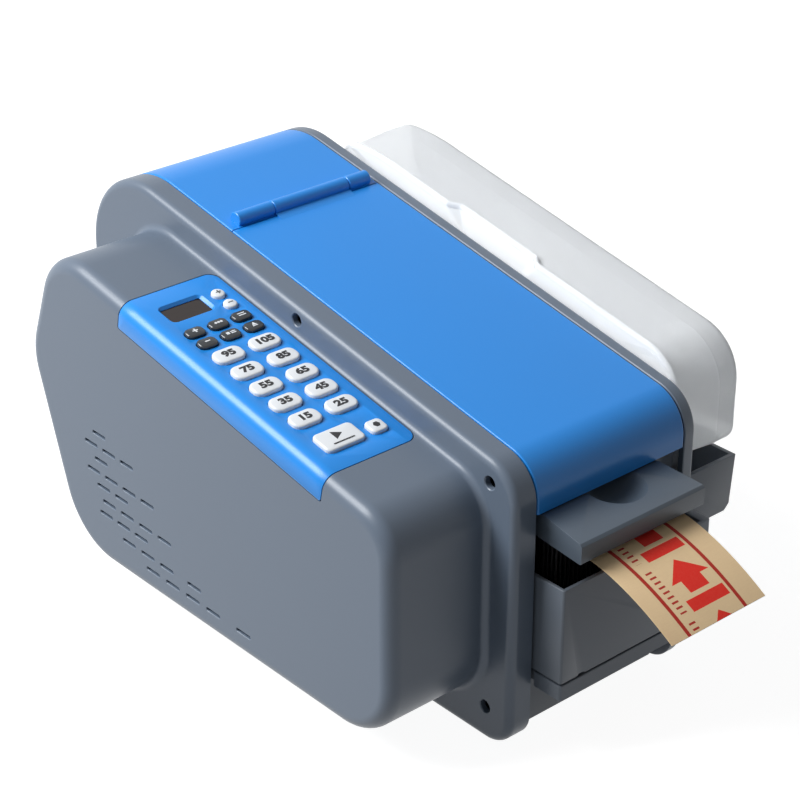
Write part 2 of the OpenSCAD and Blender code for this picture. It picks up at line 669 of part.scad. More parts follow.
// ---- plate, tank and brushes ----------------------------------------------------------
plate_z = tape_z + 2.2;
plate_top_z = nose_z - 0.7;         // plate top where it runs in under the lid
plate_front_h = 12.8;
plate_back_y = 10;
carrier_y = [8, 46];                // the plate's carrier, fixed to both chassis plates
carrier_t = 6;
scoop_r = 25;
plate_taper = 4.5;                  // how much each side of the plate comes in towards its back
module pressing_plate() {
    x0 = tape_x - plate_w / 2;
    x1 = tape_x + plate_w / 2;
    color("#555c64") difference() {
        union() {
            intersection() {
                side_plate(x0, x1) polygon([[-plate_reach, plate_z + 1], [-plate_reach + 1, plate_z],
                    [plate_back_y, plate_z], [plate_back_y, plate_top_z - 3], [-1, plate_top_z],
                    [-plate_reach + 1.6, plate_z + plate_front_h + 0.2],
                    [-plate_reach, plate_z + plate_front_h - 1.4]]);
                linear_extrude(plate_top_z + 1) polygon([[x0, -plate_reach - 1], [x1, -plate_reach - 1],
                    [x1 - plate_taper, plate_back_y + 1], [x0 + plate_taper, plate_back_y + 1]]);
            }
            block([-inner_w / 2, carrier_y[0], plate_z], [inner_w / 2, carrier_y[1], plate_z + carrier_t]);
            for (y = [carrier_y[0], carrier_y[1] - 2])
                block([-inner_w / 2, y, plate_z], [inner_w / 2, y + 2, plate_z + 2 * carrier_t]);
        }
        // finger scoop under the lid's front edge
        translate([-1.5, -4.5, plate_top_z + 16]) sphere(r = scoop_r);
    }
}
tank_low = tank_z - tank_h;
tank_wall = 2.5;
tank_back_y = 45;
tank_left_x = -58.8;
tank_in_x = half_bay - 2;
tank_bevel = 1.6;
runner_x = [-42, 42];               // runners on the ledge that guide the tank
runner_w = 4;
ledge_front_y = -18.2;
ledge_x = [-54.6, 58];
ledge_top = 51;
ledge_stop = 4;                     // upright stop behind the tank
module water_tank() {
    color("#5d646c") difference() {
        union() {
            block([tank_left_x, -tank_reach, tank_low], [tank_left_x + tank_w, -2, tank_z]);
            block([tank_left_x, -3, tank_low], [tank_in_x, tank_back_y, tank_z]);
        }
        block([tank_left_x + tank_wall, -tank_reach + tank_wall, tank_low + tank_wall],
            [tank_in_x - tank_wall, tank_back_y - tank_wall, tank_z + 1]);
        // soft front edges
        for (x = [tank_left_x, tank_left_x + tank_w]) translate([x, -tank_reach, tank_low + tank_h / 2])
            rotate(45) cube([tank_bevel, tank_bevel, tank_h + 2], center = true);
        // grooves that ride on the ledge's runners
        for (x = runner_x) block([x - runner_w / 2 - 0.3, -tank_reach - 1, tank_low - 1],
            [x + runner_w / 2 + 0.3, tank_back_y + 1, tank_low + 1]);
    }
}
module drip_ledge() {
    back = tank_back_y + 1 + ledge_stop;
    color("#5d646c") {
        block([ledge_x[0], ledge_front_y, base_top], [ledge_x[1], back, ledge_top]);
        for (x = runner_x) block([x - runner_w / 2, ledge_front_y + ledge_stop, ledge_top - 0.1],
            [x + runner_w / 2, back - 1, tank_low + 0.7]);
        block([ledge_x[0], back - ledge_stop, ledge_top - 0.1],
            [ledge_x[1], back, ledge_top + 2 * ledge_stop]);
    }
}
brush_y = [2, 26];                  // middle of the front and the rear brush
brush_half = [40, 7];               // half width and half depth of a brush back
brush_block = [tank_low + tank_wall + 0.3, 92];     // foot and top of a brush back
brush_leg = [8, 20];                // width and height of its legs
bristle_top = tape_z - tape_gap;
bristle_r = 0.9;
module brush(y) {
    translate([tape_x, y, 0]) {
        for (x = [-1, 1] * (brush_half[0] - brush_leg[0] / 2 - 1))
            block([x - brush_leg[0] / 2, -brush_half[1] + 1, brush_block[0]],
                [x + brush_leg[0] / 2, brush_half[1] - 1, brush_block[0] + brush_leg[1]]);
        block([-brush_half[0], -brush_half[1], brush_block[0] + brush_leg[1] - 2],
            [brush_half[0], brush_half[1], brush_block[1]]);
        step_x = 2 * (brush_half[0] - 1.5) / tufts_across;
        step_y = 2 * (brush_half[1] - 0.5) / tuft_rows;
        for (i = [0:tufts_across - 1], j = [0:tuft_rows - 1])
            translate([(i + 0.5 + 0.25 * (j % 2 * 2 - 1)) * step_x - brush_half[0] + 1.5,
                    (j + 0.5) * step_y - brush_half[1] + 0.5, brush_block[1] - 0.5])
                cylinder(r = min(bristle_r, 0.45 * step_y), $fn = 3, h = bristle_top - brush_block[1] + 0.5);
    }
}
module front_brush() { color("#1c1c1e") brush(brush_y[0]); }
module rear_brush() { color("#1c1c1e") brush(brush_y[1]); }

// ---- tape -----------------------------------------------------------------------------
nip_bend_y = 92;                    // where the web starts to climb towards the roll
web_front_y = 55.4;
web_pt = [nip_bend_y, tape_z];
web_span = norm(roll_axis - web_pt);
web_turn = acos((roll_r + tape_gap) / web_span);
web_aim = atan2(web_pt[1] - roll_axis[1], web_pt[0] - roll_axis[0]);
web_leave = roll_axis + (roll_r + tape_gap) * [cos(web_aim - web_turn), sin(web_aim - web_turn)];
web_dir = unit(web_pt, web_leave);
module tape_web() {
    up = tape_t * left(web_dir);
    bend = tape_t * [-tan((atan2(web_dir[1], web_dir[0])) / 2), 1];
    color("burlywood") side_plate(tape_x - tape_w / 2, tape_x + tape_w / 2)
        polygon([[web_front_y, tape_z], web_pt, web_leave, web_leave + up, web_pt + bend,
            [web_front_y, tape_z + tape_t]]);
}
curl_steps = 16;
curl_start_y = -18;
curl_run = curl_start_y - strip_front_y;
// Height of the strip's underside at distance d past the start of the curl
function curl(d) = tape_z - curl_drop * pow(d / curl_run, 1.8);
module tape_strip() {
    run = [for (i = [0:curl_steps]) let (d = curl_run * i / curl_steps) [curl_start_y - d, curl(d)]];
    over = [for (i = [curl_steps:-1:0]) let (d = curl_run * i / curl_steps,
        s = (curl(d + 0.1) - curl(max(0, d - 0.1))) / 0.2)
        run[i] + tape_t * [s, 1] / norm([s, 1])];
    color("burlywood") side_plate(tape_x - tape_w / 2, tape_x + tape_w / 2)
        polygon(concat([[strip_rear_y, tape_z + tape_t], [strip_rear_y, tape_z]], run, over));
}
module tape_roll() {
    color("burlywood") difference() {
        rod(roll_r, tape_x - tape_w / 2, tape_x + tape_w / 2, roll_axis[0], roll_axis[1]);
        rod(core_r + 0.05, tape_x - tape_w / 2 - 1, tape_x + tape_w / 2 + 1, roll_axis[0], roll_axis[1]);
    }
}
module tape_core() {
    color("tan") difference() {
        rod(core_r, tape_x - tape_w / 2, tape_x + tape_w / 2, roll_axis[0], roll_axis[1]);
        rod(core_r - core_wall, tape_x - tape_w / 2 - 1, tape_x + tape_w / 2 + 1, roll_axis[0], roll_axis[1]);
    }
}
guide_gap = 0.8;
guide_t = 2;
guide_out = tape_w / 2 + guide_gap + guide_t;
guide_foot = 70;                    // half length of a guide at its foot and at its top
guide_top = 85;
guide_over = 10;                    // how far it reaches over the roll's axis
guide_hole_r = 34;
module support_roller(axis) {
    color("gray") {
        rod(support_r, tape_x - tape_w / 2, tape_x + tape_w / 2, axis[0], axis[1]);
        rod(shaft_r, -chassis_x + 0.2, chassis_x - 0.2, axis[0], axis[1]);
    }
}
module support_roller_front() { support_roller(support_axis(-1)); }
module support_roller_rear() { support_roller(support_axis(1)); }
module roll_guides() {
    foot_z = base_floor + rib_h + 0.2;
    top_z = roll_axis[1] + guide_over;
    color("lightgray") for (s = [-1, 1]) {
        x = tape_x + s * guide_out - (s > 0 ? guide_t : 0);
        difference() {
            side_plate(x, x + guide_t) polygon(rounded([[roll_y - guide_foot, foot_z],
                [roll_y + guide_foot, foot_z], [roll_y + guide_top, top_z], [roll_y - guide_top, top_z]],
                [6, 6, 30, 30]));
            for (a = [support_axis(-1), support_axis(1)])
                rod(shaft_r + 1, x - 1, x + guide_t + 1, a[0], a[1]);
            rod(guide_hole_r, x - 1, x + guide_t + 1, roll_axis[0], roll_axis[1]);
        }
    }
}

// ---- feed drive -----------------------------------------------------------------------
module feed_roller() {
    color("#3a3a3a") {
        rod(feed_r, tape_x - tape_w / 2, tape_x + tape_w / 2, feed_axis[0], feed_axis[1]);
        rod(shaft_r, -flange_x + cover_wall + 0.6, chassis_x - 0.2, feed_axis[0], feed_axis[1]);
    }
}
module pinch_roller() {
    color("#4a4a4a") {
        rod(pinch_r, tape_x - tape_w / 2, tape_x + tape_w / 2, pinch_axis[0], pinch_axis[1]);
        rod(shaft_r, -chassis_x + 0.2, chassis_x - 0.2, pinch_axis[0], pinch_axis[1]);
    }
}
// Involute spur gear outline: the flank angle at radius r, seen from the pitch point
pressure = 20;
function roll_angle(base, r) = let (a = acos(min(1, base / r))) tan(a) * 180 / PI - a;
function tooth_half(z, m, play, r) = let (pitch = m * z / 2, base = pitch * cos(pressure))
    (90 - play / 2 / m * 180 / PI) / z + roll_angle(base, pitch) - roll_angle(base, max(r, base));
function polar(r, a) = r * [cos(a), sin(a)];
function gear_points(z, m, play) = let (pitch = m * z / 2, tip = pitch + m, root = pitch - 1.25 * m,
    foot = max(root, pitch * cos(pressure)),
    radii = [for (s = [0:4]) foot + (tip - foot) * s / 4]) [
    for (t = [0:z - 1]) let (mid = t * 360 / z, half = tooth_half(z, m, play, 0)) each concat(
        [polar(root, mid - half)],
        [for (r = radii) polar(r, mid - tooth_half(z, m, play, r))],
        [for (s = [4:-1:0]) polar(radii[s], mid + tooth_half(z, m, play, radii[s]))],
        [polar(root, mid + half)])];
gear_x = -chassis_x - 3;            // inner face of the gear pair
gear_t = 6;
gear_holes = 6;
gear_hole_r = 5;
pinion_shaft_r = 3;
module feed_gear() {
    color("ivory") difference() {
        translate([gear_x - gear_t, feed_axis[0], feed_axis[1]]) rotate([90, 0, 90]) linear_extrude(gear_t)
            difference() {
                rotate(-motor_angle) polygon(gear_points(gear_teeth, gear_module, gear_play));
                circle(r = shaft_r);
                for (i = [1:gear_holes]) rotate(i * 360 / gear_holes)
                    translate([gear_module * gear_teeth / 3.3, 0]) circle(r = gear_hole_r);
            }
    }
}
module motor_pinion() {
    color("goldenrod") {
        translate([gear_x - gear_t - 0.5, motor_axis[0], motor_axis[1]]) rotate([90, 0, 90])
            linear_extrude(gear_t + 1) rotate(180 - motor_angle + 180 / pinion_teeth)
                polygon(gear_points(pinion_teeth, gear_module, gear_play));
        rod(pinion_shaft_r, gear_x - gear_t + 1, -half_bay + 6, motor_axis[0], motor_axis[1]);
    }
}
motor_len = 58;
motor_flange = [40, 3];             // side and thickness of the gearbox flange
module drive_motor() {
    color("darkgray") difference() {
        union() {
            rod(motor_r, -inner_w / 2 + motor_flange[1], -inner_w / 2 + motor_len,
                motor_axis[0], motor_axis[1]);
            rod(motor_r - 5, -inner_w / 2 + motor_len - 0.1, -inner_w / 2 + motor_len + 4,
                motor_axis[0], motor_axis[1]);
            side_plate(-inner_w / 2, -inner_w / 2 + motor_flange[1]) translate(motor_axis)
                round_rect(motor_flange[0], motor_flange[0], 6);
        }
        rod(pinion_shaft_r + run_fit, -half_bay - 1, -half_bay + 7, motor_axis[0], motor_axis[1]);
    }
}
frame_y = [50, 64];                 // front and back of the cutter frame
table_y = [frame_y[1] + 0.4, 116];
table_t = 3;
table_lip = 12;                     // depth of the table's folded rear edge
module feed_table() {
    color("silver") difference() {
        union() {
            block([-inner_w / 2, table_y[0], tape_z - table_t], [inner_w / 2, table_y[1], tape_z - tape_gap]);
            block([-inner_w / 2, table_y[1] - table_t, tape_z - table_lip],
                [inner_w / 2, table_y[1], tape_z - tape_gap]);
        }
        block([tape_x - tape_w / 2 - 2, feed_y - feed_r - 1, tape_z - table_t - 1],
            [tape_x + tape_w / 2 + 2, feed_y + feed_r + 1, tape_z + 1]);
    }
}

// ---- cutter ---------------------------------------------------------------------------
blade_y = [53, 54.6];               // moving blade
fixed_y = [54.9, 57.9];             // fixed blade
blade_x = [-57.4, 43.4];
frame_x = [-56, 42];                // inner edges of the two uprights
groove = 0.3;
bridge_z = 158.2;
bridge_t = 2.8;
bridge_back_y = 92;
sill_h = [2, 18];                   // the sill's top and bottom under the tape
blade_h = 17;                       // top of the moving blade over the tape
cutter_travel = 10;
solenoid_top = 176.5;
solenoid_half = [18, 14];           // half width and half depth of the coil's yoke
plunger_at = [-9, 75];
plunger_r = 4;
arm_half = 10;
module cutter_frame() {
    low = tape_z - sill_h[1];
    top = bridge_z + bridge_t;
    out = inner_w / 2;
    color("lightsteelblue") difference() {
        union() {
            block([-out, fixed_y[1], low], [out, frame_y[1], tape_z - sill_h[0]]);
            block([-out, frame_y[0], low], [frame_x[0], frame_y[1], top]);
            block([frame_x[1], frame_y[0], low], [out, frame_y[1], top]);
            block([-out, fixed_y[1] - 0.9, bridge_z], [out, bridge_back_y, top]);
        }
        block([blade_x[0] - groove, blade_y[0] - groove, low - 1],
            [blade_x[1] + groove, blade_y[1] + groove, top + 1]);
        block([blade_x[0] + 1, fixed_y[0] - 0.05, low - 1], [blade_x[1] - 1, fixed_y[1], bridge_z - 0.1]);
    }
}
module fixed_blade() {
    color("silver") block([blade_x[0] + 1 + groove, fixed_y[0], tape_z - sill_h[1] + 4],
        [blade_x[1] - 1 - groove, fixed_y[1], tape_z - tape_gap]);
}
module moving_blade() {
    arm_z = solenoid_top + cutter_travel + 0.5;
    color("silver") {
        translate([0, blade_y[1], 0]) rotate([90, 0, 0]) linear_extrude(blade_y[1] - blade_y[0])
            polygon([[blade_x[0], tape_z + 3], [blade_x[1], tape_z + 6.5], [blade_x[1], tape_z + blade_h],
                [plunger_at[0] + arm_half + 9, tape_z + blade_h], [plunger_at[0] + arm_half + 2, arm_z + 2],
                [plunger_at[0] - arm_half - 2, arm_z + 2], [plunger_at[0] - arm_half - 9, tape_z + blade_h],
                [blade_x[0], tape_z + blade_h]]);
        block([plunger_at[0] - arm_half, blade_y[0], arm_z],
            [plunger_at[0] + arm_half, plunger_at[1] + plunger_r + 1.5, arm_z + 2]);
        translate([plunger_at[0], plunger_at[1], solenoid_top - 4])
            cylinder(r = plunger_r, h = arm_z - solenoid_top + 4.1);
    }
}
module cutter_solenoid() {
    color("dimgray") difference() {
        block([plunger_at[0] - solenoid_half[0], plunger_at[1] - solenoid_half[1], bridge_z + bridge_t],
            [plunger_at[0] + solenoid_half[0], plunger_at[1] + solenoid_half[1], solenoid_top]);
        translate([plunger_at[0], plunger_at[1], bridge_z + bridge_t + 0.4])
            cylinder(r = plunger_r + 0.3, h = solenoid_top - bridge_z);
    }
}

// ---- fasteners and mains --------------------------------------------------------------
module cover_screws() {
    color("#2b2b2b") for (s = screw_spots, side = [-1, 1]) {
        a = chassis_x + screw_floor;
        rod(screw_head_r, side < 0 ? -a - screw_head_h : a, side < 0 ? -a : a + screw_head_h, s[0], s[1]);
        rod(screw_shank_r, side < 0 ? -a - 0.1 : half_bay + 0.1, side < 0 ? -half_bay - 0.1 : a + 0.1,
            s[0], s[1]);
    }
}
socket_at = inlet_at + [-12, 0];    // mains socket and rocker share one moulded frame
switch_at = inlet_at + [15.5, 0];
rocker_size = [17.4, 12];           // rocker's width and height
rocker_pin_r = 1.2;
rocker_in = 6;                      // how deep the rocker's pin lies
rocker_tilt = 8;
module power_inlet() {
    half_w = rocker_size[0] / 2;
    color("#222222") difference() {
        union() {
            block([inlet_at[0] - inlet_size[0] / 2, rear_y - 20, inlet_at[1] - inlet_size[1] / 2],
                [inlet_at[0] + inlet_size[0] / 2, rear_y, inlet_at[1] + inlet_size[1] / 2]);
            translate([inlet_at[0], body_len, inlet_at[1]]) rotate([90, 0, 0])
                linear_extrude(body_len - rear_y) round_rect(inlet_size[0] + 7, inlet_size[1] + 6, 4);
        }
        translate([socket_at[0], body_len + 1, socket_at[1]]) rotate([90, 0, 0]) linear_extrude(17)
            polygon([[-12, -8], [12, -8], [12, 4], [8, 8], [-8, 8], [-12, 4]]);
        block([switch_at[0] - half_w - inlet_fit, rear_y - 14, switch_at[1] - rocker_size[1] / 2 - 0.5],
            [switch_at[0] + half_w + inlet_fit, rear_y + 2, switch_at[1] + rocker_size[1] / 2 + 0.5]);
        rod(rocker_pin_r + run_fit, switch_at[0] - half_w - 1.5, switch_at[0] + half_w + 1.5,
            rear_y - rocker_in, switch_at[1]);
    }
}
module rocker_switch() {
    h = rocker_size[1] / 2;
    color("#222222") translate([switch_at[0], rear_y - rocker_in, switch_at[1]]) rotate([rocker_tilt, 0, 0]) {
        rotate([90, 0, 90]) translate([0, 0, -rocker_size[0] / 2]) linear_extrude(rocker_size[0])
            polygon([[-3, -3], [0, -h + 0.6], [rocker_in + 1.4, -h + 1], [rocker_in + 1.8, -h + 1.8],
                [rocker_in + 0.2, 0], [rocker_in + 1.8, h - 1.8], [rocker_in + 1.4, h - 1], [0, h - 0.6],
                [-3, 3]]);
        rod(rocker_pin_r, -rocker_size[0] / 2 - 1.2, rocker_size[0] / 2 + 1.2, 0, 0);
    }
}

// Machine axes to the row's own origin
module place() { translate([-mid_x, -mid_y, 0]) children(); }

place() left_side_cover();
place() right_side_cover();
place() chassis_left();
place() chassis_right();
place() base();
place() rubber_feet();
place() front_lid();
place() rear_cover();
place() hinge_pin();
place() control_panel();
place() display_lens();
place() control_board();
place() water_bottle();
place() bottle_valve();
place() bottle_tray();
place() pressing_plate();
place() water_tank();
place() front_brush();
place() rear_brush();
place() drip_ledge();
place() feed_table();
place() tape_roll();
place() tape_core();
place() tape_web();
place() tape_strip();
place() support_roller_front();
place() support_roller_rear();
place() roll_guides();
place() feed_roller();
place() feed_gear();
place() pinch_roller();
place() drive_motor();
place() motor_pinion();
place() cutter_frame();
place() fixed_blade();
place() moving_blade();
place() cutter_solenoid();
place() cover_screws();
place() power_inlet();
place() rocker_switch();
for (k = KEYS) place() key(k);
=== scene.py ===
"""Gummed tape dispenser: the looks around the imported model. All sizes are in millimetres and in
the machine's own axes, X = 0 in the middle of the tape bay, Y = 0 at the front of the side covers,
Z = 0 on the counter; each piece is put into metres and into the model's frame as it is made."""
import math

import bmesh
import bpy
import numpy as np
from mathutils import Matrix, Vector


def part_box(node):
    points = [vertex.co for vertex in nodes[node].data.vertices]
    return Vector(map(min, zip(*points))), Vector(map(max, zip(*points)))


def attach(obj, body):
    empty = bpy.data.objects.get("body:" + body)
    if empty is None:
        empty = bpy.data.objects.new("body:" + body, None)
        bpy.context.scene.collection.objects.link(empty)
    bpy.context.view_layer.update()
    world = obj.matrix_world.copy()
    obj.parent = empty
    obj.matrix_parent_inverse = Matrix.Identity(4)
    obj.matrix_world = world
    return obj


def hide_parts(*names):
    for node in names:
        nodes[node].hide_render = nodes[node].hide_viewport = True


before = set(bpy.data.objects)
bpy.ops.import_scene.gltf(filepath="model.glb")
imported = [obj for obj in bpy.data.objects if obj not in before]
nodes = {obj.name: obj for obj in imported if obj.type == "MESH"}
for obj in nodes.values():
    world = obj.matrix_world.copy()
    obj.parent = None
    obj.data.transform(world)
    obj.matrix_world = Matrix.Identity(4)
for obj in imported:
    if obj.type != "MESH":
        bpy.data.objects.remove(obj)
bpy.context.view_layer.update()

# ---- Camera, floor and studio light --------------------------------------------------------
# The camera stands to the left of the operator and looks down over the control housing.
# A broad soft lamp high on the left lights tops and the left side alike, as in a light tent.
MM = 0.001
cover_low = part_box("left_side_cover")[0]
housing_side_x = -149.0                       # outer face of the control housing
origin = np.array([cover_low.x - housing_side_x * MM, cover_low.y, 0.0])


def metres(points):
    """Machine millimetres to metres, moved to the model's origin."""
    return np.asarray(points, float) * MM + origin


def placed(name, data):
    """A new object in the scene that shows data."""
    made = bpy.data.objects.new(name, data)
    bpy.context.scene.collection.objects.link(made)
    return made


camera_data = bpy.data.cameras.new("camera")
camera = placed("camera", camera_data)
camera.location = metres([-817.9, -750.5, 790.6])
camera.rotation_euler = (math.radians(62.186), 0.0, math.radians(-41.224))
camera_data.sensor_width = 36.0
camera_data.lens = 100.87
camera_data.clip_start = 0.05
camera_data.clip_end = 20.0
bpy.context.scene.camera = camera
bpy.context.scene.view_settings.view_transform = "Standard"


class Wire:
    """A value on its way through a material. Arithmetic on it adds the Math nodes that do it."""

    def __init__(self, tree, socket):
        self.tree = tree
        self.socket = socket

    def calc(self, operation, *others):
        """This value with others through one Math node."""
        made = self.tree.nodes.new("ShaderNodeMath")
        made.operation = operation
        for port, value in zip(made.inputs, (self, *others)):
            if isinstance(value, Wire):
                self.tree.links.new(value.socket, port)
            else:
                port.default_value = value
        return Wire(self.tree, made.outputs[0])

    def __add__(self, other):
        return self.calc("ADD", other)

    def __sub__(self, other):
        return self.calc("SUBTRACT", other)

    def __mul__(self, other):
        return self.calc("MULTIPLY", other)

    def __gt__(self, other):
        return self.calc("GREATER_THAN", other)

    def __lt__(self, other):
        return self.calc("LESS_THAN", other)

    def __rsub__(self, other):
        return self * -1.0 + other

    def __abs__(self):
        return self.calc("ABSOLUTE")

    __radd__ = __add__
    __rmul__ = __mul__


class Finish:
    """A material with one principled shader, and the nodes that vary it."""

    def __init__(self, name, colour, roughness, **fixed):
        self.material = bpy.data.materials.new(name)
        self.material.use_nodes = True
        self.tree = self.material.node_tree
        self.shader = self.tree.nodes["Principled BSDF"]
        self.colour = (*colour, 1.0)
        self.set(Base_Color=self.colour, Roughness=roughness, **fixed)

    def set(self, **sockets):
        """Writes numbers, colours or wires to the shader's sockets, _ standing for a space."""
        for name, value in sockets.items():
            self.put(self.shader.inputs[name.replace("_", " ")], value)

    def put(self, port, value):
        """Links a wire to a socket, or sets a number, colour or vector on it."""
        if isinstance(value, Wire):
            self.tree.links.new(value.socket, port)
        elif isinstance(value, tuple) and len(value) == 3 and port.type == "RGBA":
            port.default_value = (*value, 1.0)
        else:
            port.default_value = value

    def node(self, kind, settings=(), inputs=(), output=0):
        """One node of any kind: its settings first, then values or wires on its sockets."""
        made = self.tree.nodes.new(kind)
        for name, value in dict(settings).items():
            setattr(made, name, value)
        for name, value in dict(inputs).items():
            self.put(made.inputs[name], value)
        return Wire(self.tree, made.outputs[output])

    def place(self, scale=(1.0, 1.0, 1.0)):
        """Object coordinates, stretched by scale."""
        where = self.node("ShaderNodeTexCoord", output=3)
        return self.node("ShaderNodeMapping", inputs={"Vector": where, "Scale": scale})

    def noise(self, per_metre, detail=2.0, stretch=(1.0, 1.0, 1.0), rough=0.5):
        """Cloudy noise from 0 to 1, per_metre waves to the metre."""
        sockets = {"Vector": self.place(stretch), "Scale": per_metre, "Detail": detail, "Roughness": rough}
        return self.node("ShaderNodeTexNoise", inputs=sockets)

    def mix(self, factor, low, high):
        """Colour low where factor is 0 and high where it is 1."""
        return self.node("ShaderNodeMix", {"data_type": "RGBA"}, {0: factor, 6: low, 7: high}, output=2)

    def shade(self, wave, amount):
        """The finish's own colour, darker and lighter by amount as wave goes from 0 to 1."""
        rgb = self.colour[:3]
        low = tuple(c * (1 - amount) for c in rgb)
        high = tuple(min(1.0, c * (1 + amount)) for c in rgb)
        return self.mix(wave, low, high)

    def vary(self, wave, amount, roughest, smoothest):
        """A wave from 0 to 1 shades the colour by amount and sets the roughness between two limits."""
        self.set(Base_Color=self.shade(wave, amount), Roughness=wave * (roughest - smoothest) + smoothest)

    def bump(self, height, depth_mm):
        """Bump of the given depth in millimetres from a height of 0 to 1."""
        sockets = {"Height": height, "Distance": depth_mm * MM}
        self.set(Normal=self.node("ShaderNodeBump", inputs=sockets))


floor_mesh = bpy.data.meshes.new("floor")
reach = 9.0
floor_corners = [(-reach, -reach, 0), (reach, -reach, 0), (reach, reach, 0), (-reach, reach, 0)]
floor_mesh.from_pydata(floor_corners, [], [(0, 1, 2, 3)])
floor = placed("floor", floor_mesh)
# What the camera, glossy and clear surfaces see of the floor is white, less its shadows; what the
# floor gives back to the object is the light of a duller paper.
floor_finish = Finish("floor_paper", (0.23, 0.23, 0.23), 0.9)


def show(tree, lights, seen, output):
    """Shader lights gives the object its light, and shader seen is what shows: to rays from the
    camera, off a gloss or through something clear, of which the largest mask counts."""
    path = tree.nodes.new("ShaderNodeLightPath")
    kinds = ("Is Camera Ray", "Is Glossy Ray", "Is Transmission Ray")
    camera_ray, glossy, through = [Wire(tree, path.outputs[kind]) for kind in kinds]
    choose = tree.nodes.new("ShaderNodeMixShader")
    tree.links.new(camera_ray.calc("MAXIMUM", glossy).calc("MAXIMUM", through).socket, choose.inputs[0])
    tree.links.new(lights.outputs[0], choose.inputs[1])
    tree.links.new(seen.outputs[0], choose.inputs[2])
    tree.links.new(choose.outputs[0], tree.nodes[output].inputs["Surface"])


paper = floor_finish.tree
white_paper = paper.nodes.new("ShaderNodeBsdfDiffuse")
white_paper.inputs["Color"].default_value = (0.35, 0.35, 0.35, 1.0)
glow = paper.nodes.new("ShaderNodeEmission")
glow.inputs["Strength"].default_value = 0.93
lit = paper.nodes.new("ShaderNodeAddShader")
paper.links.new(white_paper.outputs[0], lit.inputs[0])
paper.links.new(glow.outputs[0], lit.inputs[1])
show(paper, floor_finish.shader, lit, "Material Output")
floor_mesh.materials.append(floor_finish.material)

world = bpy.data.worlds.new("tent")
bpy.context.scene.world = world
world.use_nodes = True
air = world.node_tree
dull = air.nodes["Background"]
dull.inputs["Color"].default_value = (0.93, 0.96, 1.0, 1.0)
dull.inputs["Strength"].default_value = 0.125
white = air.nodes.new("ShaderNodeBackground")
white.inputs["Color"].default_value = (1.0, 1.0, 1.0, 1.0)
show(air, dull, white, "World Output")

key_light = bpy.data.lights.new("key_lamp", "AREA")
key_light.shape = "SQUARE"
key_light.size = 1.15
key_light.energy = 68.0
key_light.color = (0.965, 0.98, 1.0)
key_lamp = placed("key_lamp", key_light)
machine_middle = Vector((0.0, 0.0, 0.12))
towards_lamp = Vector((-0.57, 0.38, 0.69)).normalized()
key_lamp.location = machine_middle + towards_lamp * 2.2
key_lamp.rotation_mode = "QUATERNION"
key_lamp.rotation_quaternion = towards_lamp.to_track_quat("Z", "Y")


# ---- Steel chassis, rollers and blades -----------------------------------------------------
# Two zinc-plated sheet plates carry every axle; the table, blades and cutter frame are ground
# or plated steel, screwed between the plates. They keep the shapes of the model.
def sheet_steel(name, colour, roughness, grain):
    """Rolled or ground steel: long fine scratches along Y, stretched noise for both tone and bump."""
    made = Finish(name, colour, roughness, Metallic=1.0)
    scratch = made.noise(grain, 3.0, (1.0, 0.04, 1.0))
    cloud = made.noise(18.0, 2.0)
    made.set(Base_Color=made.shade(cloud * 0.5 + scratch * 0.5, 0.16),
             Roughness=scratch * 0.16 + (roughness - 0.08))
    made.bump(scratch, 0.01)
    return made


def paint(mesh, finish):
    """Gives a mesh one finish in place of any it has."""
    mesh.materials.clear()
    mesh.materials.append(finish.material)


def dress(finish, slot, *names):
    """Gives nodes of the model a finish in place of their plain one."""
    for name in names:
        paint(nodes[name].data, finish)


chassis_finish = sheet_steel("zinc_sheet", (0.52, 0.53, 0.55), 0.42, 900.0)
bright_finish = sheet_steel("ground_steel", (0.66, 0.67, 0.69), 0.28, 1500.0)
can_finish = sheet_steel("plated_can", (0.36, 0.37, 0.39), 0.38, 700.0)
roller_finish = sheet_steel("turned_steel", (0.46, 0.47, 0.49), 0.32, 1800.0)
dress(chassis_finish, "chassis_steel", "chassis_left", "chassis_right", "cutter_frame")
dress(bright_finish, "bright_steel", "feed_table", "fixed_blade", "moving_blade", "hinge_pin")
dress(can_finish, "motor_steel", "drive_motor", "cutter_solenoid")
dress(roller_finish, "roller_grey", "support_roller_front", "support_roller_rear")


# ---- Rubber rollers, gears and feet --------------------------------------------------------
# The feed and pinch rollers are ground rubber on steel shafts, the big gear is moulded acetal,
# the pinion cut brass. The feet are pressed into the base.
def soft_rubber(name, colour):
    """Black rubber with a matt ground skin: fine noise in tone, roughness and bump."""
    made = Finish(name, colour, 0.75)
    skin = made.noise(2200.0, 3.0)
    made.vary(skin, 0.35, 0.81, 0.66)
    made.bump(skin, 0.03)
    return made


rubber_finish = soft_rubber("ground_rubber", (0.032, 0.032, 0.034))
foot_finish = soft_rubber("foot_rubber", (0.018, 0.018, 0.019))
dress(rubber_finish, "roller_rubber", "feed_roller", "pinch_roller")
dress(foot_finish, "foot_rubber", "rubber_feet")


def moulded(name, colour, roughness, grain_mm=0.012, variation=0.045, **fixed):
    """Moulded plastic: a fine spark texture in the bump, and slow faint changes of tone and gloss."""
    made = Finish(name, colour, roughness, **fixed)
    grain = made.noise(2600.0, 2.0)
    cloud = made.noise(9.0, 3.0)
    made.set(Base_Color=made.shade(cloud * 0.7 + grain * 0.3, variation),
             Roughness=cloud * 0.06 + grain * 0.05 + (roughness - 0.055))
    made.bump(grain, grain_mm)
    return made


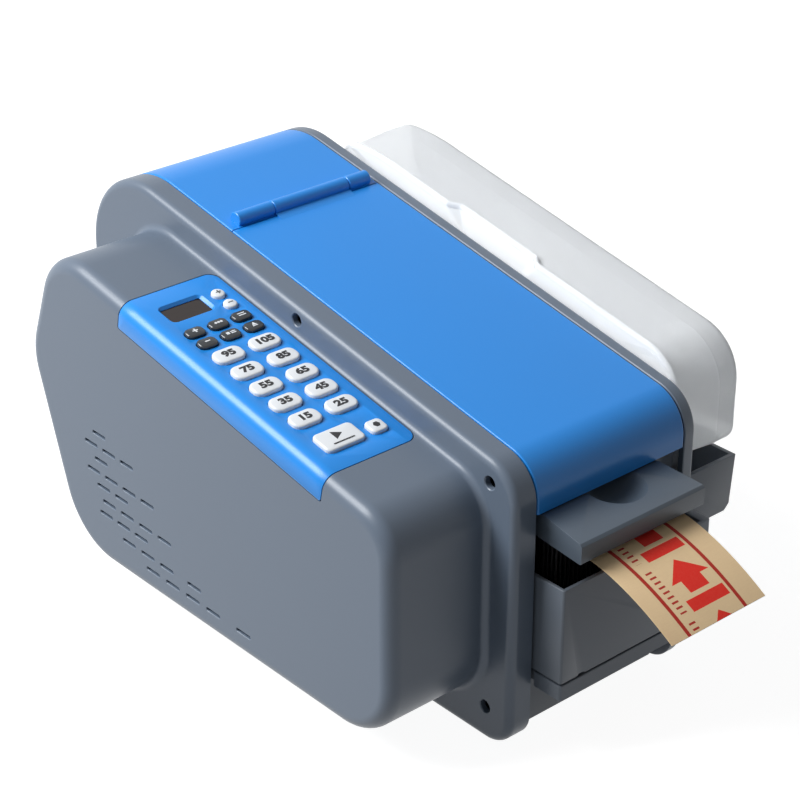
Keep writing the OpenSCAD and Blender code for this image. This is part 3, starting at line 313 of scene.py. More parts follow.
gear_finish = moulded("ivory_acetal", (0.76, 0.72, 0.6), 0.42)
pinion_finish = sheet_steel("cut_brass", (0.72, 0.52, 0.2), 0.3, 1500.0)
guide_finish = moulded("light_grey_moulding", (0.4, 0.42, 0.45), 0.5)
board_finish = Finish("green_board", (0.02, 0.12, 0.05), 0.4)
board_tone = board_finish.noise(420.0, 1.0)
board_finish.set(Base_Color=board_finish.shade((board_tone > 0.52) * 1.0, 0.3))
dress(gear_finish, "gear_ivory", "feed_gear")
dress(pinion_finish, "pinion_brass", "motor_pinion")
dress(guide_finish, "guide_grey", "roll_guides")
dress(board_finish, "circuit_green", "control_board")


# ---- The side covers -----------------------------------------------------------------------
# Two large mouldings in blue-grey ABS with a satin spark texture. The left one swells out into
# the control housing through a hollow blend; both are screwed on through deep round wells.
foot_h = 3.0
body_len = 402.0
roof_z = 186.0
roof_slope = math.radians(11.0)
roof_tan = math.tan(roof_slope)
half_bay = 60.0
flange_x = -77.0
flange_edge = 5.0
housing_edge = 9.0
blend = 4.5
cover_wall = 4.0
right_x = 69.0
housing_drop = 18.7


def roof(y):
    """Height of the covers' roof line at distance y from the front."""
    return roof_z + y * roof_tan


body_corners = np.array([[0, foot_h], [body_len, foot_h], [body_len, roof(body_len)], [0, roof_z]])
body_radii = [20.0, 20.0, 57.0, 27.0]
housing_corners = np.array([[21.6, 23], [334, 23], [375, 150.7], [343, roof(343) - housing_drop],
                            [21.6, roof(21.6) - housing_drop]])
housing_radii = [44.0, 52.0, 45.0, 42.0, 30.0]


def rounded(corners, radii, inset=0.0, steps=24):
    """Outline of a convex polygon run counter-clockwise: each corner is an arc about the point that
    lies its radius inside both edges, and inset draws the whole outline in by moving along normals."""
    corners = np.asarray(corners, float)
    radii = np.asarray(radii, float)
    along = np.roll(corners, -1, 0) - corners
    along /= np.linalg.norm(along, axis=1)[:, None]
    out_normal = np.column_stack([-along[:, 1], along[:, 0]])
    in_normal = np.roll(out_normal, 1, 0)
    dots = (in_normal * out_normal).sum(1)
    centres = corners + radii[:, None] * (in_normal + out_normal) / (1 + dots)[:, None]
    start = np.arctan2(-in_normal[:, 1], -in_normal[:, 0])
    turn = np.arccos(np.clip(dots, -1, 1))
    angles = start[:, None] + turn[:, None] * np.linspace(0, 1, steps + 1)[None, :]
    spoke = (radii - inset)[:, None, None]
    points = centres[:, None, :] + spoke * np.stack([np.cos(angles), np.sin(angles)], -1)
    return points.reshape(-1, 2)


def walked(outline, stops):
    """Points of a closed outline at the distances along it that stops gives for its whole length."""
    closed = np.vstack([outline, outline[:1]])
    mark = np.concatenate([[0], np.cumsum(np.linalg.norm(np.diff(closed, axis=0), axis=1))])
    return np.column_stack([np.interp(stops(mark[-1]), mark, closed[:, i]) for i in (0, 1)])


def oblong(u, v, width, height):
    """The corners of a rectangle about the point (u, v), counter-clockwise from the lowest left."""
    return np.array([[u - width / 2, v - height / 2], [u + width / 2, v - height / 2],
                     [u + width / 2, v + height / 2], [u - width / 2, v + height / 2]])


def by_bearing(outline, centre, bearings):
    """The outline's points at given bearings from a centre: the outline is cut into short steps, and
    each coordinate is read off as a function of bearing."""
    dense = walked(outline, lambda whole: np.linspace(0, whole, 6000, endpoint=False))
    found = np.arctan2(dense[:, 1] - centre[1], dense[:, 0] - centre[0]) % (2 * math.pi)
    order = np.argsort(found)
    found, dense = found[order], dense[order]
    return np.column_stack([np.interp(bearings, found, dense[:, i], period=2 * math.pi) for i in (0, 1)])


def lattice_faces(rows, columns, wrap=True):
    """Four-sided faces of a grid of points, joined up round its rows where wrap is true."""
    r, c = np.meshgrid(np.arange(rows - 1), np.arange(columns if wrap else columns - 1), indexing="ij")
    beside = (c + 1) % columns
    corners = [r * columns + c, r * columns + beside, (r + 1) * columns + beside, (r + 1) * columns + c]
    return np.stack(corners, -1).reshape(-1, 4)


def face_out(work):
    """Turns the faces of one closed shape outward: all one way round, then by the sign of its volume."""
    bmesh.ops.recalc_face_normals(work, faces=work.faces)
    if work.calc_volume(signed=True) < 0:
        bmesh.ops.reverse_faces(work, faces=work.faces)


def closed_mesh(name, points, faces, finish):
    """A mesh object through points as they stand, with doubles merged and its faces outward."""
    mesh = bpy.data.meshes.new(name)
    mesh.from_pydata(points.tolist(), [], [list(map(int, f)) for f in faces])
    work = bmesh.new()
    work.from_mesh(mesh)
    bmesh.ops.remove_doubles(work, verts=work.verts, dist=1e-7)
    face_out(work)
    work.to_mesh(mesh)
    work.free()
    if finish is not None:
        mesh.materials.append(finish.material)
    return placed(name, mesh)


def new_piece(name, points, faces, finish, sharp=32.0):
    """A closed mesh from machine millimetres, with edges over sharp degrees kept crisp."""
    made = closed_mesh(name, metres(points), faces, finish)
    smooth(made, sharp)
    return made


def smooth(piece, sharp=32.0):
    """Smooth shading, with crisp edges where two faces meet at more than sharp degrees."""
    piece.data.shade_smooth()
    piece.data.set_sharp_from_angle(angle=math.radians(sharp))


def skin_faces(levels, count):
    """Faces of a skin through rings of count points: the lattice between them and both flat ends."""
    ends = [list(range(count))[::-1], list(range((levels - 1) * count, levels * count))]
    return lattice_faces(levels, count).tolist() + ends


def skin(name, rings, finish, sharp=32.0):
    """A closed skin through rings of points, one array of levels by points by three. The first and
    last rings are closed by flat faces."""
    rings = np.asarray(rings, float)
    return new_piece(name, rings.reshape(-1, 3), skin_faces(*rings.shape[:2]), finish, sharp)


def at_x(x, outline):
    """A side outline of (y, z) points set at one x."""
    return np.column_stack([np.full(len(outline), x), outline])


def carve(piece, cutter, sharp=32.0):
    """Cuts the closed mesh cutter out of piece for good, and throws the cutter away."""
    tool = piece.modifiers.new("carve", "BOOLEAN")
    tool.operation = "DIFFERENCE"
    tool.solver = "MANIFOLD"
    tool.object = cutter
    settle(piece)
    bpy.data.objects.remove(cutter)
    smooth(piece, sharp)


def settle(piece):
    """Replaces piece's mesh by what its modifiers make of it."""
    bpy.context.view_layer.update()
    done = bpy.data.meshes.new_from_object(piece.evaluated_get(bpy.context.evaluated_depsgraph_get()))
    piece.modifiers.clear()
    piece.data = done


def joined(name, pieces):
    """Several objects as one."""
    work = bmesh.new()
    for piece in pieces:
        work.from_mesh(piece.data)
    first = pieces[0]
    first.name = name
    work.to_mesh(first.data)
    work.free()
    for piece in pieces[1:]:
        bpy.data.objects.remove(piece)
    return first


def peg(name, radius, x_from, x_to, y, z, count=40, chamfer=0.0, finish=None):
    """A round bar along X, its ends chamfered: rings of radius r and r less the chamfer."""
    turn = np.linspace(0, 2 * math.pi, count, endpoint=False)
    ring = np.column_stack([np.cos(turn), np.sin(turn)])
    levels = [(x_from, radius - chamfer), (x_to, radius - chamfer)]
    if chamfer:
        levels[1:1] = [(x_from + chamfer, radius), (x_to - chamfer, radius)]
    return skin(name, [at_x(x, ring * r + [y, z]) for x, r in levels], finish)


def brick(name, low, high, finish=None):
    """A plain box between two corners."""
    square = np.array([[low[1], low[2]], [high[1], low[2]], [high[1], high[2]], [low[1], high[2]]], float)
    return skin(name, [at_x(low[0], square), at_x(high[0], square)], finish)


cover_finish = moulded("blue_grey_moulding", (0.124, 0.158, 0.208), 0.36, Specular_IOR_Level=0.42)
bearings = np.linspace(0, 2 * math.pi, 900, endpoint=False)
heart = np.array([190.0, 118.0])


def body_ring(x, inset):
    """The covers' side outline at x, set in by inset."""
    return at_x(x, by_bearing(rounded(body_corners, body_radii, inset), heart, bearings))


def housing_ring(x, inset):
    """The housing's side outline at x, set in by inset."""
    return at_x(x, by_bearing(rounded(housing_corners, housing_radii, inset), heart, bearings))


def shrunk(ring, share):
    """A ring drawn in towards the cover's middle, in its own plane."""
    middle = np.array([ring[0, 0], *heart])
    return middle + (ring - middle) * share


def arc(count):
    """Angles from 0 to a quarter turn."""
    return np.linspace(0, math.pi / 2, count + 1)


def round_over(ring, face_x, radius, count, side=1):
    """Rings of a rounded edge on the face at face_x: r (1 - sin a) in front of or behind the face,
    and r (1 - cos a) in from the outline, for each angle a of a quarter turn."""
    return [ring(face_x + side * radius * (1 - math.sin(a)), radius * (1 - math.cos(a))) for a in arc(count)]


cover_rings = [shrunk(housing_ring(housing_side_x + cover_wall, housing_edge), 0.02),
               housing_ring(housing_side_x + cover_wall, housing_edge + 0.3),
               housing_ring(housing_side_x + housing_edge, cover_wall),
               housing_ring(flange_x + cover_wall, cover_wall),
               body_ring(flange_x + cover_wall, cover_wall + 0.2),
               body_ring(-half_bay, cover_wall), body_ring(-half_bay, 0.5), body_ring(-half_bay - 0.5, 0.0),
               body_ring(flange_x + flange_edge + 0.4, 0.0)]
cover_rings += round_over(body_ring, flange_x, flange_edge, 9)
cover_rings += [body_ring(flange_x, flange_edge + 0.5), housing_ring(flange_x, -blend - 0.5)]
cover_rings += [housing_ring(flange_x - blend * (1 - math.cos(a)), -blend * (1 - math.sin(a)))
                for a in arc(8)]
cover_rings += [housing_ring(flange_x - blend - 0.4, 0.0),
                housing_ring(housing_side_x + housing_edge + 0.4, 0.0)]
cover_rings += round_over(housing_ring, housing_side_x, housing_edge, 12)
cover_rings += [housing_ring(housing_side_x, housing_edge + 0.5),
                shrunk(housing_ring(housing_side_x, housing_edge + 0.5), 0.02)]
left_cover = skin("left_cover", cover_rings, cover_finish)

# cooling slots: height, rearmost slot, number, spacing
slot_rows = [(116.7, 298.9, 1, 19.5), (107.2, 308.4, 3, 19.2), (97.9, 298.4, 1, 19.5),
             (88.2, 307.4, 4, 19.2), (79.2, 297.4, 2, 19.3), (69.2, 292.4, 4, 19.7),
             (59.8, 296.4, 3, 18.9), (49.7, 272.4, 3, 20), (49.7, 204, 1, 20),
             (40.2, 247.4, 4, 20.7), (40.2, 155.4, 1, 20)]
slot_len = 13.5
slot_h = 2.2
slot_end = slot_h * 0.48
slot_bevel = 0.45
well_bevel = 0.55
screw_spots = [(20.5, 26.0), (20.4, 175.4), (188.0, roof(188) - 8.6), (body_len - 21, 28.0)]
well_floor = 65.0
well_r = 4.0
cutters = []
for z, y_last, number, pitch in slot_rows:
    for i in range(number):
        corners = oblong(y_last - i * pitch, z, slot_len, slot_h)
        ring = rounded(corners, [slot_end] * 4, 0, 5)
        wide = rounded(corners, [slot_end] * 4, -slot_bevel, 5)
        levels = [at_x(housing_side_x - 0.5, wide), at_x(housing_side_x - 0.01, wide),
                  at_x(housing_side_x + slot_bevel, ring), at_x(housing_side_x + 6, ring)]
        cutters.append(skin("slot", levels, None))
for y, z in screw_spots:
    turn = np.linspace(0, 2 * math.pi, 40, endpoint=False)
    circle = np.column_stack([np.cos(turn), np.sin(turn)])
    steps = [(flange_x - 0.5, well_r + well_bevel), (flange_x, well_r + well_bevel),
             (flange_x + 0.6, well_r), (-well_floor, well_r)]
    cutters.append(skin("well", [at_x(x, circle * r + [y, z]) for x, r in steps], None))
carve(left_cover, joined("cover_cutter", cutters))
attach(left_cover, "body")
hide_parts("left_side_cover")

# right cover: a plain rounded plate, hollow behind
right_edge = 2.5
right_rings = [shrunk(body_ring(right_x - cover_wall, cover_wall), 0.02),
               body_ring(right_x - cover_wall, cover_wall),
               body_ring(half_bay, cover_wall), body_ring(half_bay, 0.5), body_ring(half_bay + 0.5, 0.0)]
right_rings += round_over(body_ring, right_x, right_edge, 6, -1)
right_rings += [body_ring(right_x, right_edge + 0.5), shrunk(body_ring(right_x, right_edge + 0.5), 0.02)]
right_cover = skin("right_cover", right_rings, cover_finish)
right_wells = [peg("well", well_r, well_floor, right_x + 1, y, z) for y, z in screw_spots]
carve(right_cover, joined("right_cutter", right_wells))
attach(right_cover, "body")
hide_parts("right_side_cover")

screw_finish = moulded("black_screws", (0.03, 0.03, 0.034), 0.4)
dress(screw_finish, "screw_black", "cover_screws")


# ---- Control panel -------------------------------------------------------------------------
# A blue moulding, 2 mm thick, let in flush into the housing's top. It wraps over the housing's
# round edge and runs 8 mm down the side. It is drawn flat, cut for keys and window, and bent.
panel_x0 = -80.0
panel_t = 2.0
panel_from = 78.0
panel_to = 271.0
panel_skirt = 17.0
flat_w = panel_x0 - (housing_side_x + housing_edge)
arc_w = housing_edge * math.pi / 2
panel_w = flat_w + arc_w + panel_skirt - housing_edge
panel_gap = 0.7


def on_slope(x, t, n):
    """Points given by x, distance t up the housing's slope and height n out of it."""
    x, t, n = np.broadcast_arrays(x, t, n)
    y = t * math.cos(roof_slope) - n * math.sin(roof_slope)
    z = roof(0) - housing_drop + t * math.sin(roof_slope) + n * math.cos(roof_slope)
    return np.stack([x, y, z], -1)


def bent(flat):
    """Flat sheet points (s, t, height) laid over the housing: straight on to s = flat_w, then round
    the edge's centre with radius less depth, then straight down."""
    s, t, h = flat[..., 0], flat[..., 1], flat[..., 2]
    phi = np.clip((s - flat_w) / housing_edge, 0, math.pi / 2)
    down = np.clip(s - flat_w - arc_w, 0, None)
    r = housing_edge + h
    x = np.where(s < flat_w, panel_x0 - s, housing_side_x + housing_edge - r * np.sin(phi))
    n = np.where(s < flat_w, h, -housing_edge + r * np.cos(phi) - down)
    return on_slope(x, t, n)


def flat_stack(name, levels, finish=None):
    """A closed flat piece through outlines in (s, t), each at its own height, from the lowest up."""
    count = len(levels[0][0])
    points = np.vstack([np.column_stack([ring, np.full(count, h)]) for ring, h in levels])
    return closed_mesh(name, points, skin_faces(len(levels), count), finish)


def flat_sheet(name, outline, low, high, finish=None):
    """A flat plate of an outline in (s, t), between two heights."""
    return flat_stack(name, [(outline, low), (outline, high)], finish)


def fold(piece, sharp=32.0):
    """Cuts a flat sheet across where it will bend, and bends it over the housing's edge."""
    work = bmesh.new()
    work.from_mesh(piece.data)
    cuts = [flat_w + arc_w * k / 12 for k in range(13)] + [panel_w * 0.35]
    for s in cuts:
        everything = work.verts[:] + work.edges[:] + work.faces[:]
        bmesh.ops.bisect_plane(work, geom=everything, plane_co=(s, 0, 0), plane_no=(1, 0, 0), dist=1e-5)
    co = np.array([v.co for v in work.verts])
    place = metres(bent(co))
    for v, p in zip(work.verts, place):
        v.co = p
    face_out(work)
    work.to_mesh(piece.data)
    work.free()
    smooth(piece, sharp)
    return piece


panel_corners = [[0, panel_from], [panel_w, panel_from], [panel_w, panel_to], [0, panel_to]]
panel_radii = [7.0, 1.5, 1.5, 7.0]
recess_outline = rounded(panel_corners, panel_radii, -panel_gap, 10)
recess = flat_sheet("panel_recess", recess_outline, -panel_t - 0.05, 4.0)
fold(recess)
# the opening in the housing under the panel, through which the keys reach their board
under_panel = oblong(-113.0, 174.5, 57.0, 181.0)
aperture = skin("aperture", [on_slope(*under_panel.T, n) for n in (-8.0, 1.0)], None)
carve(left_cover, aperture)
carve(left_cover, recess)

# keys: name, x, distance up the slope, width, depth and corner radius
right_col = -98.5
first_row = 124.0
col_pitch = 26.5
row_pitch = 17.8
soft_col = -128.4
soft_row = 211.3
soft_col_pitch = 17.15
soft_row_pitch = 12.2
keys = [(f"key_{15 + 10 * i}", right_col - col_pitch * (1 - i % 2), first_row + row_pitch * (i // 2),
         20.4, 12.6, 5.2) for i in range(10)]
soft_names = ["soft_key_minus", "soft_key_off", "soft_key_home",
              "soft_key_plus", "soft_key_set", "soft_key_menu"]
keys += [(name, soft_col + soft_col_pitch * (i % 3), soft_row + soft_row_pitch * (i // 3), 13.0, 8.6, 3.4)
         for i, name in enumerate(soft_names)]
keys += [("round_key_up", -92.0, 249.4, 8.8, 8.8, 4.35),
         ("round_key_down", -92.0, 237.1, 8.8, 8.8, 4.35),
         ("start_key", -119.6, 100.2, 28.0, 17.0, 3.6),
         ("feed_key", -94.6, 97.4, 11.6, 11.0, 3.2)]
key_gap = 0.4
window_x = -116.8
window_t = 247.5
window_w = 29.0
window_d = 14.6

panel_finish = moulded("blue_panel", (0.012, 0.255, 0.75), 0.32, 0.006, 0.03, Specular_IOR_Level=0.42)
panel_outline = rounded(panel_corners, panel_radii, 0.0, 10)
panel = flat_sheet("blue_panel", panel_outline, -panel_t, 0.0, panel_finish)
holes = []
for name, x, t, w, d, r in keys:
    around_key = rounded(oblong(panel_x0 - x, t, w, d), [r] * 4, -key_gap, 8)
    holes.append(flat_sheet("hole", around_key, -5, 5))
window_corners = oblong(panel_x0 - window_x, window_t, window_w, window_d)
opening = rounded(window_corners, [1.2] * 4, 0.0, 4)
rim_line = rounded(window_corners, [2.2] * 4, -1.9, 4)
window_levels = [(opening, -5.0), (opening, -1.6), (rim_line, 0.05), (rim_line, 5.0)]
holes.append(flat_stack("window_hole", window_levels))
cutter = joined("panel_cutter", holes)
tool = panel.modifiers.new("carve", "BOOLEAN")
tool.operation = "DIFFERENCE"
tool.solver = "MANIFOLD"
tool.object = cutter
edge = panel.modifiers.new("edge", "BEVEL")
edge.width = 0.45
edge.segments = 2
edge.limit_method = "ANGLE"
edge.angle_limit = math.radians(50)
settle(panel)
bpy.data.objects.remove(cutter)
fold(panel, 40.0)
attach(panel, "body")
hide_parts("control_panel")

lens_finish = Finish("smoked_lens", (0.022, 0.014, 0.012), 0.12, Specular_IOR_Level=0.3)
lens_finish.vary(lens_finish.noise(60.0), 0.25, 0.16, 0.1)
dress(lens_finish, "display_dark", "display_lens")


# ---- Keys ----------------------------------------------------------------------------------
# Silicone keys with a pillow top: straight sides, a round shoulder and a slight crown. White
# ones carry plain numbers in black, the small dark ones white signs.
key_proud = 2.6


def pillow(name, x, t, w, d, r, finish):
    """A key: rings of its rounded outline, straight up, over a quarter-ellipse shoulder, then in
    towards its middle while the crown rises as one minus the square of the distance."""
    shoulder_in = 1.5
    shoulder_h = 1.3
    crown = 0.35
    levels = [(-6.0, 0.0), (key_proud - shoulder_h - crown, 0.0)]
    levels += [(key_proud - crown - shoulder_h * (1 - math.sin(a)), shoulder_in * (1 - math.cos(a)))
               for a in arc(6)[1:]]
    rings = []
    base = oblong(0.0, 0.0, w, d)
    for n, inset in levels:
        flat = rounded(base, [r] * 4, inset, 7)
        rings.append(on_slope(x + flat[:, 0], t + flat[:, 1], np.full(len(flat), n)))
    top = rounded(base, [r] * 4, shoulder_in, 7)
    for share in (0.85, 0.65, 0.45, 0.25, 0.05):
        flat = top * share
        n = key_proud - crown + crown * (1 - share ** 2)
        rings.append(on_slope(x + flat[:, 0], t + flat[:, 1], np.full(len(flat), n)))
    return skin(name, rings, finish, 50.0)


def silicone(name, colour, roughness):
    """Silicone rubber with a soft sheen, faintly cloudy."""
    made = Finish(name, colour, roughness, Coat_Weight=0.15)
    made.vary(made.noise(140.0), 0.02, roughness + 0.04, roughness - 0.04)
    return made


key_white = silicone("white_silicone", (0.8, 0.82, 0.84), 0.36)
key_dark = silicone("dark_silicone", (0.016, 0.02, 0.025), 0.26)
ink_black = Finish("black_ink", (0.012, 0.012, 0.014), 0.5)
ink_black.set(Base_Color=ink_black.shade(ink_black.noise(900.0), 0.3))
ink_white = Finish("white_ink", (0.8, 0.82, 0.84), 0.5)
ink_white.set(Base_Color=ink_white.shade(ink_white.noise(900.0), 0.05))
print_lift = key_proud - 0.1
ink_t = 0.14
digit_size = 6.8
digit_width = 1.3
digit_weight = 0.055


def printed(name, body, outline_sets, finish):
    """Flat ink shapes, each an outline in (x, t), laid on a key as plates of the ink's thickness."""
    points = []
    faces = []
    for outline in outline_sets:
        start = sum(map(len, points))
        count = len(outline)
        for n in (print_lift, print_lift + ink_t):
            points.append(on_slope(outline[:, 0], outline[:, 1], np.full(count, n)))
        faces += [[start + i for i in face] for face in skin_faces(2, count)]
    made = new_piece(name, np.vstack(points), faces, finish)
    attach(made, body)


def number(name, body, digits, x, t):
    """A key's number in the plain built-in face, thickened, made a mesh and laid on the key."""
    letters = bpy.data.curves.new(name, "FONT")
    letters.body = digits
    letters.size = digit_size
    letters.align_x = "CENTER"
    letters.align_y = "CENTER"
    letters.extrude = ink_t / 2
    letters.offset = digit_size * digit_weight
    letters.resolution_u = 4
    shape = placed(name + "_type", letters)
    bpy.context.view_layer.update()
    mesh = bpy.data.meshes.new_from_object(shape.evaluated_get(bpy.context.evaluated_depsgraph_get()))
    bpy.data.objects.remove(shape)
    co = np.array([v.co for v in mesh.vertices])
    place = metres(on_slope(x + co[:, 0] * digit_width, t + co[:, 1], co[:, 2] + print_lift + ink_t / 2))
    mesh.vertices.foreach_set("co", place.ravel())
    paint(mesh, ink_black)
    mesh.update()
    made = placed(name, mesh)
    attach(made, body)


for name, x, t, w, d, r in keys:
    dark = name.startswith("soft")
    cap = pillow(name + "_cap", x, t, w, d, r, key_dark if dark else key_white)
    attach(cap, name)
    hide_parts(name)
    if name[4:].isdigit():
        number(name + "_number", name, name[4:], x, t)


def dot(x, t, r, count=24, start=0.0):
    """A small disc or, with few corners, a regular figure in (x, t)."""
    a = np.linspace(0, 2 * math.pi, count, endpoint=False) + start
    return np.column_stack([x + r * np.cos(a), t + r * np.sin(a)])


def minus(x, t, w=3.4, line=0.8):
    """A level stroke."""
    return [oblong(x, t, w, line)]


def plus(x, t, w=3.4, line=0.8, arm=1.3):
    """A level stroke with an upright arm above and below it."""
    reach_up = (line + arm) / 2
    return minus(x, t, w, line) + [oblong(x, t + reach_up, line, arm), oblong(x, t - reach_up, line, arm)]


white_signs = {
    "start_key": lambda x, t: [dot(x - 1.0, t + 1.6, 4.2, 3), oblong(x, t - 4.6, 15.0, 0.8)],
    "feed_key": lambda x, t: [dot(x, t, 2.3, 6)],
    "round_key_up": plus,
    "round_key_down": minus}
dark_signs = {
    "soft_key_minus": lambda x, t: minus(x, t, 3.6, 0.9),
    "soft_key_plus": lambda x, t: plus(x, t, 3.6, 0.9, 1.4),
    "soft_key_off": lambda x, t: [oblong(x - 2.2, t, 2.2, 2.2), oblong(x + 1.6, t + 0.7, 3.4, 0.8),
                                  oblong(x + 1.6, t - 0.7, 3.4, 0.8)],
    "soft_key_home": lambda x, t: [dot(x, t + 0.2, 1.9, 3, math.pi / 2), oblong(x, t - 1.5, 3.6, 0.7)],
    "soft_key_set": lambda x, t: [dot(x - 2.0, t, 0.9), dot(x, t, 0.9), dot(x + 2.0, t, 0.9)],
    "soft_key_menu": lambda x, t: [oblong(x, t + 0.9, 5.0, 0.8), oblong(x, t - 0.9, 5.0, 0.8)]}
place_of = {name: (x, t) for name, x, t, w, d, r in keys}
for signs, ink, slot in ((white_signs, ink_black, "key_white"), (dark_signs, ink_white, "key_dark")):
    for name, sign in signs.items():
        printed(name + "_sign", name, sign(*place_of[name]), ink)


# ---- Blue lid and rear cover ---------------------------------------------------------------
# Two smooth blue mouldings, 3 mm thick, bent over the bay's roof. The front one carries the
# middle knuckle of the hinge, the rear one the two outer knuckles.
lid_half = 59.2
lid_wall = 3.0
lid_edge = 1.1
nose_z = 157.0
seam_y = 272.2
half_seam = 0.4
rear_end_z = 148.4
hinge_y = seam_y + 5.8
hinge_z = roof(hinge_y) + 2.0
lid_finish = moulded("blue_lid", (0.012, 0.255, 0.75), 0.32, 0.006, 0.03, Specular_IOR_Level=0.42)


def strip_of(outline, keep):
    """The stretch of a closed outline where keep is true, as one run of points."""
    wanted = keep(outline)
    start = np.flatnonzero(wanted & ~np.roll(wanted, 1))[0]
    turned = np.roll(outline, -start, 0)
    return turned[: int(wanted.sum())]


def shell_strip(name, path, finish):
    """A sheet bent along a path of (y, z) points: each ring is its cross-section, a flat bar in
    (x, depth) with two rounded edges, set at a point of the path and square to it."""
    step = np.gradient(path, axis=0)
    step /= np.linalg.norm(step, axis=1)[:, None]
    inward = np.column_stack([-step[:, 1], step[:, 0]])
    e = lid_edge
    section = [[lid_half - e + e * math.sin(a), e - e * math.cos(a)] for a in arc(5)]
    section += [[lid_half, lid_wall], [-lid_half, lid_wall]]
    section += [[-lid_half + e - e * math.cos(a), e - e * math.sin(a)] for a in arc(5)]
    section += [[x, 0.0] for x in np.linspace(-lid_half + e + 0.5, lid_half - e - 0.5, 12)]
    section = np.array(section)
    middle = path[:, None, :] + inward[:, None, :] * section[None, :, 1, None]
    across = np.broadcast_to(section[None, :, 0, None], (len(path), len(section), 1))
    return skin(name, np.concatenate([across, middle], -1), finish, 40.0)


millimetre_steps = walked(rounded(body_corners, body_radii, 0.0, 48), lambda whole: np.arange(0, whole, 1.0))
front_path = strip_of(millimetre_steps, lambda p: (p[:, 1] > nose_z) & (p[:, 0] < seam_y - half_seam))
rear_path = strip_of(millimetre_steps, lambda p: (p[:, 1] > rear_end_z) & (p[:, 0] > seam_y + half_seam))
front_seam = [seam_y - half_seam, roof(seam_y - half_seam)]
rear_seam = [seam_y + half_seam, roof(seam_y + half_seam)]
front_path = np.vstack([front_seam, front_path, [0.0, nose_z]])
rear_path = np.vstack([[body_len, rear_end_z], rear_path, rear_seam])
front_shell = shell_strip("front_lid_shell", front_path, lid_finish)
rear_shell = shell_strip("rear_cover_shell", rear_path, lid_finish)
knuckles = [(-24.0, 36.0, "front_lid"), (-52.3, -24.4, "rear_cover"), (36.4, 54.0, "rear_cover")]
barrel_r = 5.0
barrels = {"front_lid": [front_shell], "rear_cover": [rear_shell]}
tongue_x0, tongue_x1 = knuckles[0][:2]
notch = brick("notch", [tongue_x0 - 0.4, seam_y - 1.5, roof(seam_y) - 6],
              [tongue_x1 + 0.4, hinge_y, hinge_z + 6])
carve(rear_shell, notch, 40.0)
for x0, x1, owner in knuckles:
    barrels[owner].append(peg("knuckle", barrel_r, x0, x1, hinge_y, hinge_z, 48, 0.5, lid_finish))
# the lid's edge runs on to its knuckle as a tongue
tongue = np.array([[seam_y - 14, roof(seam_y - 14) - 0.5], [seam_y - 3, roof(seam_y) - 2.8],
                   [seam_y, roof(seam_y) - 3], [hinge_y - 1, hinge_z - 4.2],
                   [hinge_y - 0.2, hinge_z], [hinge_y - 4.0, hinge_z - 1.4],
                   [seam_y - 4, roof(seam_y - 4) + 0.05]])
tongue_ends = [at_x(tongue_x0, tongue), at_x(tongue_x1, tongue)]
barrels["front_lid"].append(skin("tongue", tongue_ends, lid_finish))
for owner, parts in barrels.items():
    whole = joined(owner + "_blue", parts)
    smooth(whole, 40.0)
    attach(whole, "lid" if owner == "front_lid" else "body")
    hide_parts(owner)


# ---- Water bottle and its tray -------------------------------------------------------------
# A blow-moulded bottle of milky polyethylene with a faint parting line, standing in a grey
# open tray that is fixed to the right cover. A finger recess runs along its inner top edge.
bottle_x0 = 71.4
bottle_x1 = 128.4
bottle_y0 = 16.6
bottle_y1 = 324.6
bottle_z0 = 131.0
bottle_rise = 9.5
bottle_edge = 8.0
seam_x = 108.0
seam_fades_by = 60.0
seam_fade_run = 40.0
seam_least = 0.12
bottle_inner = 3.0
bottle_top = 251.8
level_from = (bottle_top - roof_z - bottle_rise) / roof_tan
bottle_corners = np.array([[bottle_y0, bottle_z0], [bottle_y1, bottle_z0], [bottle_y1, bottle_top],
                           [level_from, bottle_top], [bottle_y0, roof(bottle_y0) + bottle_rise]])
bottle_radii = [9.0, 14.0, 15.0, 170.0, 34.0]
bottle_heart = np.array([170.0, 185.0])
grip_from = 138.0
grip_to = 221.0
grip_run = 9.0
grip_depth = 5.5
grip_height = 20.0
bottle_finish = Finish("milky_polyethylene", (0.96, 0.975, 1.0), 0.4, Transmission_Weight=0.4, IOR=1.2)
bottle_cloud = bottle_finish.noise(14.0, 3.0)
bottle_grain = bottle_finish.noise(1200.0, 2.0)
bottle_finish.vary(bottle_cloud, 0.025, 0.38, 0.3)
bottle_finish.bump(bottle_cloud * 0.9 + bottle_grain * 0.1, 0.12)


def eased(x):
    """A smooth S from 0 at 0 to 1 at 1: 3 x squared less 2 x cubed."""
    x = np.clip(x, 0, 1)
    return x * x * (3 - 2 * x)


def bottle_ring(x, inset, scoop=0.0):
    """The bottle's side outline at x. In the finger recess its top edge is set in by scoop."""
    outline = rounded(bottle_corners, bottle_radii, inset, 28)
    ring = at_x(x, by_bearing(outline, bottle_heart, bearings))
    y = ring[:, 1]
    near_top = ring[:, 2] - roof(y) > -grip_height
    share = eased((y - grip_from) / grip_run) * eased((grip_to - y) / grip_run) * near_top
    ring[:, 0] += scoop * share
    return ring


def seam_ring(x, lift):
    """A ring of the parting line: it stands out by lift on the front face and fades over the top."""
    plain = bottle_ring(x, 0.0)
    raised = bottle_ring(x, -lift)
    share = np.clip((seam_fades_by - plain[:, 1]) / seam_fade_run, seam_least, 1.0)[:, None]
    return plain + (raised - plain) * share


def scooped_ring(x, inset):
    """The bottle's side outline at x, with the full finger recess."""
    return bottle_ring(x, inset, grip_depth)


